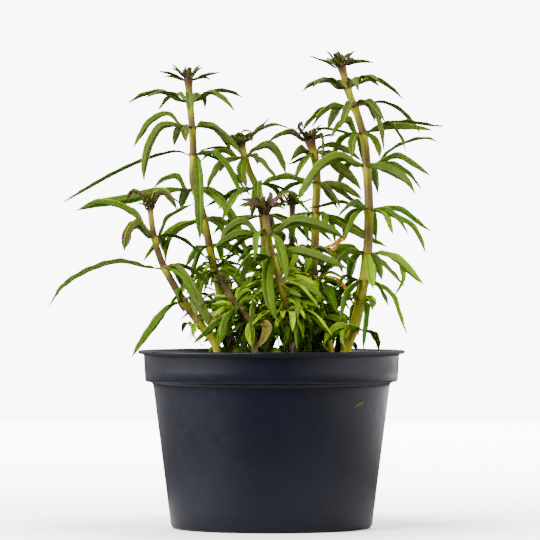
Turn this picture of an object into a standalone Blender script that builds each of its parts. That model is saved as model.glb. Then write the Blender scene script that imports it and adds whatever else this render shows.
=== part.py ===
"""A potted Pogostemon stellatus: eight leafy stems in a round nursery pot. Metres, +Z up, front at -Y."""

import math
import random

import bmesh
import bpy
from mathutils import Matrix, Vector, noise
from mathutils.bvhtree import BVHTree

MM = 0.001
UP = Vector((0, 0, 1))

# Pot, in millimetres. The flange is the widest part.
FLANGE_R = 60.0
FLANGE_THICK = 1.6
POT_HEIGHT = 80.0
COLLAR_TOP_R = 57.4
COLLAR_FOOT_R = 56.8
COLLAR_HEIGHT = 14.0
BODY_TOP_R = 53.3
BASE_R = 45.1
WALL = 1.3
FLOOR = 1.8
POT_SIDES = 36
DRAIN_HOLES = 8
DRAIN_R = 3.5
DRAIN_CIRCLE_R = 33.0

# Substrate
SOIL_TOP = 68.0
SOIL_LUMP = 1.6
SOIL_SIDES = 24
GAP = 0.3

# Stems and whorls
STEM_FOOT = 58.0
STEM_SIDES = 6
RING_GAP = 0.22
RING_WALL = 0.75
RING_HEIGHT = 1.3
RING_ROOM = 2.0
CLEARANCE = 0.32

# The front view is laid out on a grid, in steps across from its left edge and down from its top.
# A place on it, with a depth behind the pot's axis in millimetres, is a point in space.
GRID_STEP = 0.4494
GRID_AXIS = 271.5
GRID_RIM = 350.0
VIEW_DISTANCE = 2060.0
VIEW_HEIGHT = 116.0


def place(across, down, depth):
    """The point in millimetres that is seen at this place of the front view, at this depth."""
    spread = 1 + depth / VIEW_DISTANCE
    x = (across - GRID_AXIS) * GRID_STEP
    z = POT_HEIGHT + (GRID_RIM - down) * GRID_STEP
    return Vector((x * spread, depth, VIEW_HEIGHT + (z - VIEW_HEIGHT) * spread))


def leaf(route, depth, width, tilt=0):
    """A leaf drawn on the front view: its route from the stem, how far back its tip lies from the
    stem, its width in millimetres, and how far its upper face is tilted to the front, in degrees."""
    return {"route": route, "depth": depth, "width": width, "tilt": tilt}


# Each stem: its route on the front view from the rim up, its depth at the foot and at the top, its
# radius at the foot and at the top, and its whorls from the top down. A whorl has its height on the
# grid, the leaves drawn for it, and the directions of the rest in degrees, where 0 is to the right
# and 90 to the back, with how far they reach, how far their tips hang, and how high they arch.
STEMS = {
    "right_stem": {
        "route": [(344, 356), (346.5, 348), (353.5, 330), (358.5, 310), (362.5, 290), (365, 270),
                  (367.5, 253), (368.3, 230), (369, 209), (368.3, 190), (366.5, 166), (365.5, 150),
                  (363.5, 133), (358.5, 118), (353, 104), (348, 90), (344, 76), (342, 68)],
        "depth": (-8, -6),
        "radius": (2.5, 1.5),
        "crown": {"size": 13, "bud": (1.9, 6.5), "fill": [5, 60, 125, 185, 240, 300], "leaves": []},
        "whorls": [
            {"down": 88, "fill": [10, 55, 100, 145, 190, 235, 280, 325], "reach": 21, "droop": 1, "crest": 10, "leaves": []},
            {"down": 107, "fill": [20, 75, 120, 165, 250, 300], "reach": 27, "droop": 8, "crest": 8, "leaves": [
                leaf([(356, 107), (372, 106), (380, 124), (384, 150)], -12, 4.2, 55),
                leaf([(352, 108), (338, 104), (322, 112), (312, 126)], -8, 4.2, 45)]},
            {"down": 133, "fill": [80, 130], "reach": 27, "droop": 12, "crest": 5, "leaves": [
                leaf([(366, 133), (400, 126), (433, 130)], -5, 4.4, 45),
                leaf([(366, 132), (400, 120), (443, 126)], 9, 4.2, 15),
                leaf([(366, 133), (390, 122), (400, 132), (406, 151)], -9, 3.6, 15),
                leaf([(366, 135), (376, 142), (380, 158)], -17, 4.0),
                leaf([(361, 135), (345, 130), (320, 127), (308, 131)], 4, 3.6),
                leaf([(361, 131), (350, 121), (341, 121), (331, 137)], -8, 5.0, 65),
                leaf([(361, 134), (353, 136), (352, 158)], -20, 4.2)]},
            {"down": 166, "fill": [85, 130], "reach": 27, "droop": 14, "crest": 4, "leaves": [
                leaf([(369, 165), (395, 145), (425, 137), (440, 142)], 6, 3.6),
                leaf([(369, 165), (397, 156), (431, 176)], -5, 4.4, 40),
                leaf([(370, 166), (402, 166), (421, 188)], -12, 4.4, 45),
                leaf([(370, 167), (398, 173), (416, 194)], -18, 5.4, 75),
                leaf([(363, 166), (342, 156), (320, 166), (299, 195)], -10, 5.4, 72),
                leaf([(363, 165), (340, 155), (318, 157)], 8, 3.6)]},
            {"down": 209, "fill": [80, 120], "reach": 25, "droop": 14, "crest": 3, "leaves": [
                leaf([(372, 208), (398, 208), (431, 231)], -4, 4.4, 40),
                leaf([(372, 209), (396, 214), (408, 233)], -14, 4.6, 55),
                leaf([(371, 210), (384, 212), (393, 234)], -20, 4.4, 10),
                leaf([(372, 208), (412, 225), (426, 253)], 6, 4.0, 25),
                leaf([(365, 208), (345, 200), (308, 208)], 2, 3.6),
                leaf([(365, 210), (350, 222), (344, 241)], -12, 4.8, 55),
                leaf([(365, 209), (351, 202), (338, 216)], -19, 4.4, 50)]},
            {"down": 253, "fill": [70, 110, 150], "reach": 25, "droop": 14, "crest": 3, "leaves": [
                leaf([(371, 252), (392, 255), (424, 285)], -8, 4.8, 60),
                leaf([(371, 254), (390, 268), (405, 286)], -16, 4.6, 50),
                leaf([(371, 251), (392, 252), (405, 272), (395, 295)], 0, 4.2, 50),
                leaf([(367, 255), (370, 264), (373, 289)], -18, 5.2),
                leaf([(364, 252), (345, 246), (333, 252)], -6, 4.4, 35),
                leaf([(364, 254), (345, 253), (330, 269)], -14, 4.8, 50)]},
            {"down": 280, "fill": [100, 140], "reach": 24, "droop": 15, "crest": 2, "leaves": [
                leaf([(367, 280), (380, 284), (389, 305)], -14, 4.8, 40),
                leaf([(367, 280), (392, 292), (407, 333)], -3, 4.0, 30),
                leaf([(360, 280), (345, 296), (339, 323)], -13, 5.0, 65),
                leaf([(360, 278), (345, 274), (334, 291)], -5, 3.6)]},
            {"down": 299, "fill": [100, 145, 195], "reach": 18, "droop": 9, "crest": 2, "leaves": [
                leaf([(358, 299), (352, 292), (350, 299)], -7, 3.2, 20),
                leaf([(364, 299), (371, 295), (373, 310)], -7, 5.0, 70),
                leaf([(361, 301), (367, 318), (364, 349)], -13, 5.2, 50)]},
            {"down": 327, "fill": [70, 110, 150, 195], "reach": 20, "droop": 7, "crest": 3, "leaves": [
                leaf([(352, 327), (337, 320), (321, 318)], -5, 4.8, 60),
                leaf([(352, 329), (332, 329), (323, 346)], -13, 4.8, 65),
                leaf([(353, 329), (342, 328), (344, 347)], -20, 5.0, 30)]},
        ],
    },
    "left_back_stem": {
        "route": [(233, 356), (232, 345), (225, 315), (217, 280), (208, 240), (204, 217), (194.5, 188),
                  (193, 180), (193.3, 150), (191.5, 118), (190, 104), (189, 90), (188.5, 82)],
        "depth": (14, 6),
        "radius": (1.9, 1.5),
        "crown": {"size": 13, "bud": (1.8, 6.0), "fill": [30, 90, 150, 215, 270, 330], "leaves": []},
        "whorls": [
            {"down": 101, "fill": [20, 70, 120, 170, 220, 270, 320], "reach": 25, "droop": 2, "crest": 10, "leaves": []},
            {"down": 127, "fill": [55, 100, 330], "reach": 26, "droop": 11, "crest": 6, "leaves": [
                leaf([(189, 126), (166, 122), (150, 143), (145, 160), (144, 182)], -8, 4.4, 72),
                leaf([(189, 126), (172, 114), (157, 116), (146, 126), (133, 148)], 7, 4.0, 35),
                leaf([(190, 128), (185, 125), (186, 142)], -15, 3.8),
                leaf([(195, 126), (205, 121), (220, 132), (238, 151)], -4, 4.2, 50)]},
            {"down": 154, "fill": [30, 80, 320], "reach": 27, "droop": 14, "crest": 4, "leaves": [
                leaf([(190, 153), (178, 150), (150, 156), (110, 174), (63, 202)], 1, 3.8),
                leaf([(194, 155), (197, 160), (199, 200), (200, 241)], -20, 6.0)]},
            {"down": 188, "fill": [50, 95, 320], "reach": 25, "droop": 13, "crest": 3, "leaves": [
                leaf([(191, 187), (165, 189), (140, 197), (100, 203), (75, 211)], -14, 5.2, 68),
                leaf([(191, 186), (173, 174), (153, 188)], -1, 4.4, 45),
                leaf([(198, 189), (214, 194), (233, 218), (248, 259)], -9, 5.2, 72)]},
            {"down": 218, "fill": [50, 95, 330], "reach": 24, "droop": 13, "crest": 3, "leaves": [
                leaf([(201, 219), (176, 227), (155, 245), (143, 261)], -7, 4.4, 50),
                leaf([(201, 221), (180, 228), (168, 240), (165, 263)], -18, 4.6, 62),
                leaf([(207, 218), (221, 226), (231, 246)], -8, 4.8, 55)]},
            {"down": 245, "fill": [30, 75, 110], "reach": 23, "droop": 12, "crest": 3, "leaves": [
                leaf([(206, 247), (197, 254), (191, 276)], -14, 5.0, 50),
                leaf([(211, 244), (226, 245), (241, 257)], -8, 4.8, 50)]},
            {"down": 272, "fill": [0, 40, 80, 120, 160, 250, 290, 330], "reach": 20, "droop": 13, "crest": 3, "leaves": []},
            {"down": 300, "fill": [0, 40, 80, 120, 160, 270, 315], "reach": 18, "droop": 11, "crest": 3, "leaves": []},
        ],
    },
    "left_leaning_stem": {
        "route": [(217, 356), (216, 345), (209, 334), (197, 321), (190, 311), (183, 300), (175, 287),
                  (164, 267), (161.5, 262), (154.5, 237), (152, 228), (150, 208)],
        "depth": (-14, -18),
        "radius": (2.1, 1.2),
        "crown": {"size": 9, "bud": (1.6, 7.0), "fill": [70, 130, 280], "leaves": [
            leaf([(147, 207), (143, 197), (134, 190), (129, 193), (128, 201)], -2, 3.0, 30),
            leaf([(152, 207), (156, 194), (165, 192), (177, 210)], -5, 4.4, 55),
            leaf([(152, 206), (158, 196), (166, 194), (182, 204)], 5, 2.4)]},
        "whorls": [
            {"down": 237, "fill": [20, 60], "reach": 20, "droop": 9, "crest": 3, "leaves": [
                leaf([(152, 234), (138, 217), (105, 201), (80, 208)], 0, 4.4, 50),
                leaf([(152, 234), (133, 209), (120, 206)], 9, 3.2),
                leaf([(152, 237), (139, 224), (130, 229), (124, 251)], -12, 5.0, 75),
                leaf([(157, 236), (162, 222), (176, 211), (194, 203)], -3, 3.4)]},
            {"down": 267, "fill": [15, 60, 330], "reach": 20, "droop": 11, "crest": 2, "leaves": [
                leaf([(161, 266), (135, 261), (108, 263), (70, 279), (49, 306)], -2, 4.2, 30),
                leaf([(167, 266), (178, 266), (188, 282), (199, 302), (214, 333)], -13, 6.0, 78)]},
            {"down": 300, "fill": [30, 80], "reach": 18, "droop": 8, "crest": 2, "leaves": [
                leaf([(180, 300), (168, 307), (146, 335), (131, 357)], -10, 5.4, 75),
                leaf([(182, 299), (179, 289), (185, 286)], -6, 3.2),
                leaf([(186, 299), (192, 300), (198, 318)], -10, 4.6, 50)]},
            {"down": 321, "fill": [10, 60, 110, 330, 280], "reach": 17, "droop": 6, "crest": 4, "leaves": []},
        ],
    },
    "centre_left_stem": {
        "route": [(262, 356), (262, 345), (264, 310), (265, 275), (264, 240), (262.5, 215), (261, 199),
                  (256.5, 186), (251, 175), (247, 165), (242, 150), (241.5, 145)],
        "depth": (10, 9),
        "radius": (1.8, 1.5),
        "crown": {"size": 9, "bud": (2.6, 5.5), "fill": [80, 140, 200, 260], "leaves": [
            leaf([(245, 143), (257, 129), (269, 118)], -2, 3.2, 20),
            leaf([(245, 144), (258, 130), (275, 124), (289, 128)], -7, 3.2, 20)]},
        "whorls": [
            {"down": 156, "fill": [70, 120], "reach": 20, "droop": 7, "crest": 4, "leaves": [
                leaf([(242, 156), (232, 148), (215, 146), (200, 150)], 4, 3.6),
                leaf([(242, 156), (230, 151), (212, 152), (200, 161)], -4, 3.8, 20),
                leaf([(242, 157), (225, 161), (213, 175), (206, 191)], -9, 4.8, 62),
                leaf([(244, 158), (241, 168), (247, 188)], -15, 4.2),
                leaf([(247, 156), (256, 147), (268, 144), (279, 154), (286, 176)], -5, 4.8, 70),
                leaf([(247, 157), (262, 160), (278, 179)], -11, 4.4, 40)]},
            {"down": 186, "fill": [0, 45, 100, 150, 190, 240, 300], "reach": 22, "droop": 11, "crest": 3, "leaves": []},
            {"down": 215, "fill": [20, 70, 130, 180, 230, 310], "reach": 22, "droop": 11, "crest": 3, "leaves": []},
            {"down": 246, "fill": [0, 40, 85, 130, 175, 220, 265, 315], "reach": 22, "droop": 13, "crest": 3, "leaves": []},
            {"down": 282, "fill": [0, 45, 90, 135, 180, 225, 270, 315], "reach": 20, "droop": 13, "crest": 4, "leaves": []},
            {"down": 314, "fill": [20, 65, 110, 155, 200, 245, 290, 335], "reach": 17, "droop": 8, "crest": 6, "leaves": []},
        ],
    },
    "front_stem": {
        "route": [(291, 356), (290, 345), (288, 322), (285, 300), (281, 284), (275, 270), (272.5, 256),
                  (269, 242), (267.5, 234), (265.5, 215), (265, 210)],
        "depth": (-20, -22),
        "radius": (2.3, 1.7),
        "crown": {"size": 10, "bud": (2.0, 5.0), "fill": [0, 55, 115, 180, 235, 300], "leaves": []},
        "whorls": [
            {"down": 234, "fill": [80, 130], "reach": 20, "droop": 8, "crest": 3, "leaves": [
                leaf([(270, 232), (290, 221), (320, 225), (346, 239)], -8, 5.4, 72),
                leaf([(270, 235), (280, 244), (287, 279)], -15, 5.4),
                leaf([(264, 234), (236, 234), (213, 248)], -7, 4.8, 60),
                leaf([(264, 233), (245, 222), (232, 225), (219, 243)], 4, 4.6, 50),
                leaf([(266, 235), (258, 226), (254, 262)], -15, 5.4)]},
            {"down": 256, "fill": [60, 110, 200], "reach": 20, "droop": 9, "crest": 2, "leaves": [
                leaf([(271, 258), (268, 268), (270, 300), (277, 321)], -17, 6.2),
                leaf([(276, 256), (292, 250), (320, 257), (348, 269)], -9, 5.0, 70),
                leaf([(269, 257), (250, 262), (238, 286)], -6, 4.8, 60)]},
            {"down": 284, "fill": [40, 90, 140, 200, 330], "reach": 19, "droop": 9, "crest": 4, "leaves": [
                leaf([(284, 284), (305, 285), (326, 299)], -7, 5.4, 72),
                leaf([(283, 286), (298, 298), (297, 325), (297, 348)], -13, 5.4, 60),
                leaf([(278, 286), (258, 296), (250, 320), (252, 347)], -12, 5.6, 65)]},
            {"down": 312, "fill": [0, 40, 80, 130, 175, 215, 300, 335], "reach": 17, "droop": 8, "crest": 5, "leaves": [
                leaf([(285, 313), (272, 322), (258, 347)], -9, 4.8, 50)]},
        ],
    },
    "back_stem": {
        "route": [(330, 356), (329, 345), (318.5, 315), (307, 298), (299.5, 282), (295.5, 272),
                  (292.5, 258), (292, 250), (292.5, 218), (292.3, 206)],
        "depth": (20, 22),
        "radius": (2.1, 1.2),
        "crown": {"size": 9, "bud": (1.6, 5.0), "fill": [10, 70, 130, 190, 250, 310], "leaves": []},
        "whorls": [
            {"down": 224, "fill": [0, 50, 110, 170, 230, 300], "reach": 17, "droop": 6, "crest": 3, "leaves": []},
            {"down": 250, "fill": [20, 65, 110, 155, 200, 245, 290, 335], "reach": 20, "droop": 9, "crest": 3, "leaves": []},
            {"down": 282, "fill": [0, 45, 90, 135, 180, 225, 270, 315], "reach": 20, "droop": 14, "crest": 2, "leaves": []},
            {"down": 312, "fill": [20, 65, 110, 155, 200, 245, 290, 335], "reach": 18, "droop": 12, "crest": 3, "leaves": []},
        ],
    },
    "right_centre_stem": {
        "route": [(304, 356), (305, 345), (308, 310), (312, 275), (315, 248), (315.5, 213), (317, 182),
                  (315.5, 160), (313.5, 149), (310.5, 142)],
        "depth": (3, 5),
        "radius": (2.1, 1.7),
        "crown": {"size": 10, "bud": (2.0, 5.0), "fill": [20, 75, 130, 230], "leaves": [
            leaf([(307, 141), (288, 131), (266, 143)], -6, 4.6, 50),
            leaf([(313, 141), (323, 135), (324, 155)], -10, 4.0, 45)]},
        "whorls": [
            {"down": 152, "fill": [60, 120], "reach": 20, "droop": 6, "crest": 4, "leaves": [
                leaf([(311, 151), (302, 148), (290, 161)], -9, 4.4, 50),
                leaf([(311, 152), (302, 157), (287, 164)], -2, 3.6, 10),
                leaf([(312, 154), (304, 160), (294, 179)], -15, 4.2),
                leaf([(316, 150), (324, 143), (345, 149), (362, 161)], -1, 4.2, 45),
                leaf([(316, 153), (332, 162), (346, 171), (362, 191)], -10, 5.4, 72)]},
            {"down": 182, "fill": [70, 120, 250], "reach": 22, "droop": 11, "crest": 3, "leaves": [
                leaf([(314, 181), (295, 177), (275, 178), (257, 187)], -4, 4.4, 35),
                leaf([(319, 183), (335, 193), (340, 208)], -16, 4.6, 55),
                leaf([(320, 182), (345, 188), (363, 200)], -7, 4.4, 50),
                leaf([(320, 183), (342, 192), (362, 207)], 2, 4.4, 30)]},
            {"down": 213, "fill": [70, 120, 180, 230, 290], "reach": 22, "droop": 12, "crest": 3, "leaves": [
                leaf([(318, 212), (342, 220), (382, 243)], 3, 4.6, 40),
                leaf([(318, 214), (342, 226), (388, 247)], -6, 4.2, 50)]},
            {"down": 248, "fill": [40, 85, 130, 175, 215, 260, 305], "reach": 22, "droop": 13, "crest": 3, "leaves": [
                leaf([(318, 248), (335, 253), (357, 262)], -4, 4.6, 50)]},
            {"down": 284, "fill": [0, 45, 90, 135, 180, 225, 270, 315], "reach": 19, "droop": 12, "crest": 4, "leaves": []},
            {"down": 316, "fill": [25, 70, 115, 160, 205, 250, 295, 340], "reach": 17, "droop": 8, "crest": 6, "leaves": []},
        ],
    },
    "twig_stem": {
        "route": [(255, 356), (254, 340), (251, 323), (243, 313), (234, 303), (229, 293), (224, 284)],
        "depth": (-29, -28),
        "radius": (1.8, 1.1),
        "crown": {"size": 6, "bud": (1.3, 4.0), "fill": [20, 80, 150, 210, 280, 330], "leaves": []},
        "whorls": [
            {"down": 306, "fill": [60, 120, 320], "reach": 11, "droop": 2, "crest": 2, "leaves": [
                leaf([(234, 307), (226, 316), (218, 347)], -9, 6.0, 70),
                leaf([(234, 306), (218, 322), (193, 343)], -3, 4.8, 55)]},
        ],
    },
}

COLOURS = {
    "pot": (0.017, 0.019, 0.027),
    "substrate": (0.030, 0.020, 0.013),
    "stem": (0.20, 0.22, 0.07),
    "twig": (0.17, 0.09, 0.045),
    "leaf": (0.12, 0.20, 0.045),
    "young_leaf": (0.12, 0.10, 0.07),
}
ROUGHNESS = {"pot": 0.35, "substrate": 0.9, "stem": 0.45, "twig": 0.6, "leaf": 0.35, "young_leaf": 0.35}

SMALL_STATIONS = (0.20, 0.62)
SHORT_STATIONS = (0.13, 0.42, 0.74)
LONG_STATIONS = (0.11, 0.33, 0.57, 0.81)
SMALL_LEAF = 13.0
LONG_LEAF = 31.0

# A bud on a stem's end, as (share of its width, share of its height) from its foot up
BUD_SHAPE = ((1.0, 0.35), (0.95, 0.62), (0.6, 0.86))


def clear_scene():
    for found in list(bpy.data.objects):
        bpy.data.objects.remove(found, do_unlink=True)


def material(kind):
    made = bpy.data.materials.get(kind) or bpy.data.materials.new(kind)
    made.use_nodes = True
    shader = made.node_tree.nodes["Principled BSDF"]
    shader.inputs["Base Color"].default_value = (*COLOURS[kind], 1)
    shader.inputs["Roughness"].default_value = ROUGHNESS[kind]
    return made


def add_object(name, points, faces, kind):
    """A named object of this mesh, given in millimetres, with its faces turned outwards."""
    mesh = bpy.data.meshes.new(name)
    mesh.from_pydata([point * MM for point in points], [], faces)
    work = bmesh.new()
    work.from_mesh(mesh)
    bmesh.ops.recalc_face_normals(work, faces=work.faces)
    if work.calc_volume(signed=True) < 0:
        bmesh.ops.reverse_faces(work, faces=work.faces)
    work.to_mesh(mesh)
    work.free()
    made = bpy.data.objects.new(name, mesh)
    bpy.context.scene.collection.objects.link(made)
    made.data.materials.append(material(kind))
    return made


def cut(target, cutters):
    """Subtracts the cutters, which stay in the file as hidden helpers."""
    for cutter in cutters:
        cutter.hide_render = True
        cutter.display_type = "WIRE"
        modifier = target.modifiers.new(cutter.name, "BOOLEAN")
        modifier.operation = "DIFFERENCE"
        modifier.solver = "EXACT"
        modifier.object = cutter


# Curves

def through(points, share):
    """The point at this share of a smooth curve through the points (Catmull-Rom)."""
    spans = len(points) - 1
    at = min(max(share, 0.0), 1.0) * spans
    i = min(int(at), spans - 1)
    t = at - i
    b, c = points[i], points[i + 1]
    a = points[i - 1] if i else b * 2 - c
    d = points[i + 2] if i + 2 <= spans else c * 2 - b
    return 0.5 * (b * 2 + (c - a) * t + (a * 2 - b * 5 + c * 4 - d) * t ** 2
                  + (b * 3 - a - c * 3 + d) * t ** 3)


def evenly(points, shares):
    """Points at these shares of the curve's length."""
    fine = [through(points, i / 60) for i in range(61)]
    run = [0.0]
    for a, b in zip(fine, fine[1:]):
        run.append(run[-1] + (b - a).length)
    found = []
    for share in shares:
        target = share * run[-1]
        i = next((k for k in range(60) if run[k + 1] >= target), 59)
        found.append(fine[i].lerp(fine[i + 1], (target - run[i]) / max(run[i + 1] - run[i], 1e-9)))
    return found


def frame_along(axis):
    """Two directions across the axis, the first as near +X as it can be."""
    across = (Vector((1, 0, 0)) - axis * axis.x).normalized()
    return across, axis.cross(across)


def lathe(profile, sides):
    """A closed body of revolution from an outline of (radius, height) that starts and ends at the axis."""
    points, faces = [], []
    rows = []
    for radius, height in profile:
        if radius < 1e-6:
            rows.append([len(points)])
            points.append(Vector((0, 0, height)))
            continue
        rows.append(list(range(len(points), len(points) + sides)))
        for k in range(sides):
            angle = 2 * math.pi * (k + 0.5) / sides
            points.append(Vector((radius * math.cos(angle), radius * math.sin(angle), height)))
    for a, b in zip(rows, rows[1:]):
        for k in range(sides):
            n = (k + 1) % sides
            if len(a) == 1:
                faces.append((a[0], b[k], b[n]))
            elif len(b) == 1:
                faces.append((a[k], a[n], b[0]))
            else:
                faces.append((a[k], a[n], b[n], b[k]))
    return points, faces


def tube(centres, radii, sides):
    """A closed round bar through the centres."""
    points, faces = [], []
    for i, (centre, radius) in enumerate(zip(centres, radii)):
        ahead = centres[min(i + 1, len(centres) - 1)] - centres[max(i - 1, 0)]
        u, v = frame_along(ahead.normalized())
        for k in range(sides):
            angle = 2 * math.pi * k / sides
            points.append(centre + (u * math.cos(angle) + v * math.sin(angle)) * radius)
        for k in range(sides if i else 0):
            n = (k + 1) % sides
            low, high = (i - 1) * sides, i * sides
            faces.append((low + k, low + n, high + n, high + k))
    last = (len(centres) - 1) * sides
    faces.append(tuple(range(sides - 1, -1, -1)))
    faces.append(tuple(range(last, last + sides)))
    return points, faces


# Pot and substrate

def pot_profile():
    collar_foot = POT_HEIGHT - COLLAR_HEIGHT
    flange_foot = POT_HEIGHT - FLANGE_THICK
    return [
        (0, 0), (BASE_R - 1.2, 0), (BASE_R, 1.2),
        (BODY_TOP_R, collar_foot - 1.4), (BODY_TOP_R + 0.5, collar_foot - 0.6),
        (COLLAR_FOOT_R - 0.6, collar_foot), (COLLAR_FOOT_R, collar_foot + 0.6),
        (COLLAR_TOP_R, flange_foot), (FLANGE_R - 0.3, flange_foot), (FLANGE_R, flange_foot + 0.4),
        (FLANGE_R, POT_HEIGHT - 0.4), (FLANGE_R - 0.5, POT_HEIGHT), (COLLAR_TOP_R - WALL + 0.4, POT_HEIGHT),
        (COLLAR_TOP_R - WALL, POT_HEIGHT - 0.6), (COLLAR_FOOT_R - WALL, collar_foot + WALL),
        (inner_radius(collar_foot), collar_foot), (inner_radius(FLOOR), FLOOR), (0, FLOOR),
    ]


def inner_radius(height):
    """The radius inside the pot's tapered body at this height."""
    share = height / (POT_HEIGHT - COLLAR_HEIGHT)
    return BASE_R + (BODY_TOP_R - BASE_R) * share - WALL


def drain_holes():
    made = []
    for k in range(DRAIN_HOLES):
        angle = 2 * math.pi * (k + 0.5) / DRAIN_HOLES
        x, y = DRAIN_CIRCLE_R * math.cos(angle), DRAIN_CIRCLE_R * math.sin(angle)
        ends = [Vector((x, y, -2)), Vector((x, y, FLOOR + 2))]
        made.append(add_object(f"drain_cutter_{k + 1}", *tube(ends, [DRAIN_R] * 2, 10), "pot"))
    return made


def soil_height(x, y):
    rough = noise.noise(Vector((x * 0.07, y * 0.07, 3.1)))
    mound = 1 - (x * x + y * y) / BODY_TOP_R ** 2
    return SOIL_TOP + SOIL_LUMP * rough + 1.5 * mound


def substrate_mesh():
    """The medium as it fills the pot: flat below, up its taper, and lumpy on top."""
    foot, top = FLOOR + GAP, SOIL_TOP - 2.2
    profile = [(0, foot), (inner_radius(foot) - GAP - 0.4, foot), (inner_radius(top) - GAP - 0.4, top)]
    widths = (0.995, 0.8, 0.6, 0.4, 0.2)
    profile += [(inner_radius(SOIL_TOP - 2) * width - GAP - 0.3, SOIL_TOP) for width in widths]
    profile.append((0, SOIL_TOP))
    points, faces = lathe(profile, SOIL_SIDES)
    for point in points:
        if point.z >= SOIL_TOP - 0.01:
            point.z = soil_height(point.x, point.y)
    return points, faces


# Stems

def stem_point(stem, down):
    """The stem's centre at this height of the grid, and its direction."""
    centres = stem["centres"]
    height = place(GRID_AXIS, down, 0).z
    for a, b in zip(centres, centres[1:]):
        if a.z <= height <= b.z:
            return a.lerp(b, (height - a.z) / (b.z - a.z)), (b - a).normalized()
    raise ValueError("a whorl lies above its stem")


def stem_radius(stem, height):
    low, high = stem["centres"][0].z, stem["centres"][-1].z
    foot, top = stem["radius"]
    return foot + (top - foot) * ((height - low) / (high - low)) ** 1.3


def lay_stem(stem):
    """Works out the stem's centre line, from its foot in the substrate to its top."""
    low, high = stem["depth"]
    route = stem["route"]
    tall = route[0][1] - route[-1][1]
    points = [place(x, y, low + (high - low) * (route[0][1] - y) / tall) for x, y in route]
    foot = points[0] + (points[0] - points[1]).normalized() * 3
    foot.z = STEM_FOOT
    points.insert(0, foot)
    count = max(8, round((points[-1].z - foot.z) / 11))
    stem["centres"] = evenly(points, [i / count for i in range(count + 1)])


def stem_mesh(stem, extra=0.0):
    centres = stem["centres"]
    radii = [stem_radius(stem, centre.z) + extra for centre in centres]
    if extra:
        centres = [centres[0] - (centres[1] - centres[0]).normalized() * extra] + centres[1:]
    return tube(centres, radii, STEM_SIDES)


# Leaves

def leaf_width(share):
    """A leaf's width along it, as a share of its widest: narrow at the stem, widest before the middle."""
    return 0.5 + 2.24 * share - 2.77 * share ** 2 if share < 0.42 else 0.97 + 0.73 * share - 1.32 * share ** 2


def leaf_frames(points, heading, tilt):
    """The across and upward directions at each point, carried along without twist, then tilted."""
    tangents = []
    for i in range(len(points)):
        tangents.append((points[min(i + 1, len(points) - 1)] - points[max(i - 1, 0)]).normalized())
    side = heading.cross(UP).normalized()
    frames = []
    for i, along in enumerate(tangents):
        side = (side - along * side.dot(along)).normalized()
        upward = side.cross(along)
        turn = math.radians(tilt) * min(1, i / 2) * (1 if side.y < 0 else -1)
        rolled = Matrix.Rotation(-turn, 3, along)
        frames.append((rolled @ side, rolled @ upward))
    return frames


def leaf_sections(cluster, start, outward, route, width, tilt, heading):
    """Sections of a leaf as (left margin, right margin, keel), and its tip. Near the stem a leaf is
    no wider than its share of the way round."""
    path = [start, start + outward * min(1.0, (route[-1] - start).length / 8), *route]
    length = sum((b - a).length for a, b in zip(path, path[1:]))
    stations = LONG_STATIONS if length > LONG_LEAF else SHORT_STATIONS if length > SMALL_LEAF else SMALL_STATIONS
    centres = evenly(path, (0, *stations, 1))
    frames = leaf_frames(centres, heading, tilt)
    sections = []
    for share, centre, (side, upward) in list(zip((0, *stations), centres, frames))[1:]:
        away = (centre - cluster["root"]).cross(cluster["axis"]).length
        half = min(width * leaf_width(share) / 2, away * math.tan(math.pi / len(cluster["seats"])) * 0.9)
        keel = 0.32 * half + 0.22
        raised = centre + upward * keel * 0.35
        sections.append((raised + side * half, raised - side * half, centre - upward * keel * 0.65))
    return sections, centres[-1]


def thick_leaf(sections, tip, margin, root=None):
    """The leaf as a box-like strip that is bigger by the margin all round, to test for room. With a
    root, it starts there, at the ring, and not at the leaf's first section."""
    points, faces = [], []
    if root:
        left, right, keel = sections[0]
        pull = root - (left + right) / 2
        sections = [(left + pull, right + pull, keel + pull), *sections]
    for left, right, keel in sections:
        side = (left - right).normalized()
        middle = (left + right) / 2
        upward = (middle - keel).normalized()
        for edge, push in ((left, side), (right, -side)):
            points.append(edge + push * margin + upward * margin)
            points.append(edge + push * margin - upward * ((middle - keel).length * 0.6 + margin))
    rows = len(sections)
    for i in range(rows - 1):
        for a, b in ((0, 1), (1, 3), (3, 2), (2, 0)):
            faces.append((4 * i + a, 4 * i + b, 4 * i + 4 + b, 4 * i + 4 + a))
    faces.append((0, 1, 3, 2))
    last = 4 * (rows - 1)
    middle = (sections[-1][0] + sections[-1][1]) / 2
    points.append(tip + (tip - middle).normalized() * margin)
    for a, b in ((0, 1), (1, 3), (3, 2), (2, 0)):
        faces.append((last + a, last + b, len(points) - 1))
    return points, faces


def bounds(points):
    xs, ys, zs = zip(*points)
    return min(xs), min(ys), min(zs), max(xs), max(ys), max(zs)


class Room:
    """What stands where, to find room for a leaf."""

    def __init__(self):
        self.things = []

    def add(self, points, faces, owner):
        self.things.append((bounds(points), BVHTree.FromPolygons(points, faces), owner))

    def clear(self, points, faces, skip=()):
        box = bounds(points)
        tree = None
        for other, standing, owner in self.things:
            if owner in skip or any(box[k] > other[k + 3] or other[k] > box[k + 3] for k in range(3)):
                continue
            tree = tree or BVHTree.FromPolygons(points, faces)
            if tree.overlap(standing):
                return False
        return True


def drawn_route(drawn, root, shift):
    """A drawn leaf's route in space. It goes to its depth early, as a leaf that arches out and hangs."""
    places = drawn["route"][1:]
    depth = drawn["depth"] + shift
    runs, run = [], 0.0
    before = drawn["route"][0]
    for x, y in places:
        run += math.hypot(x - before[0], y - before[1])
        runs.append(run)
        before = (x, y)
    return [place(x, y, root.y + depth * (1 - (1 - r / run) ** 1.6)) for (x, y), r in zip(places, runs)]


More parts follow.
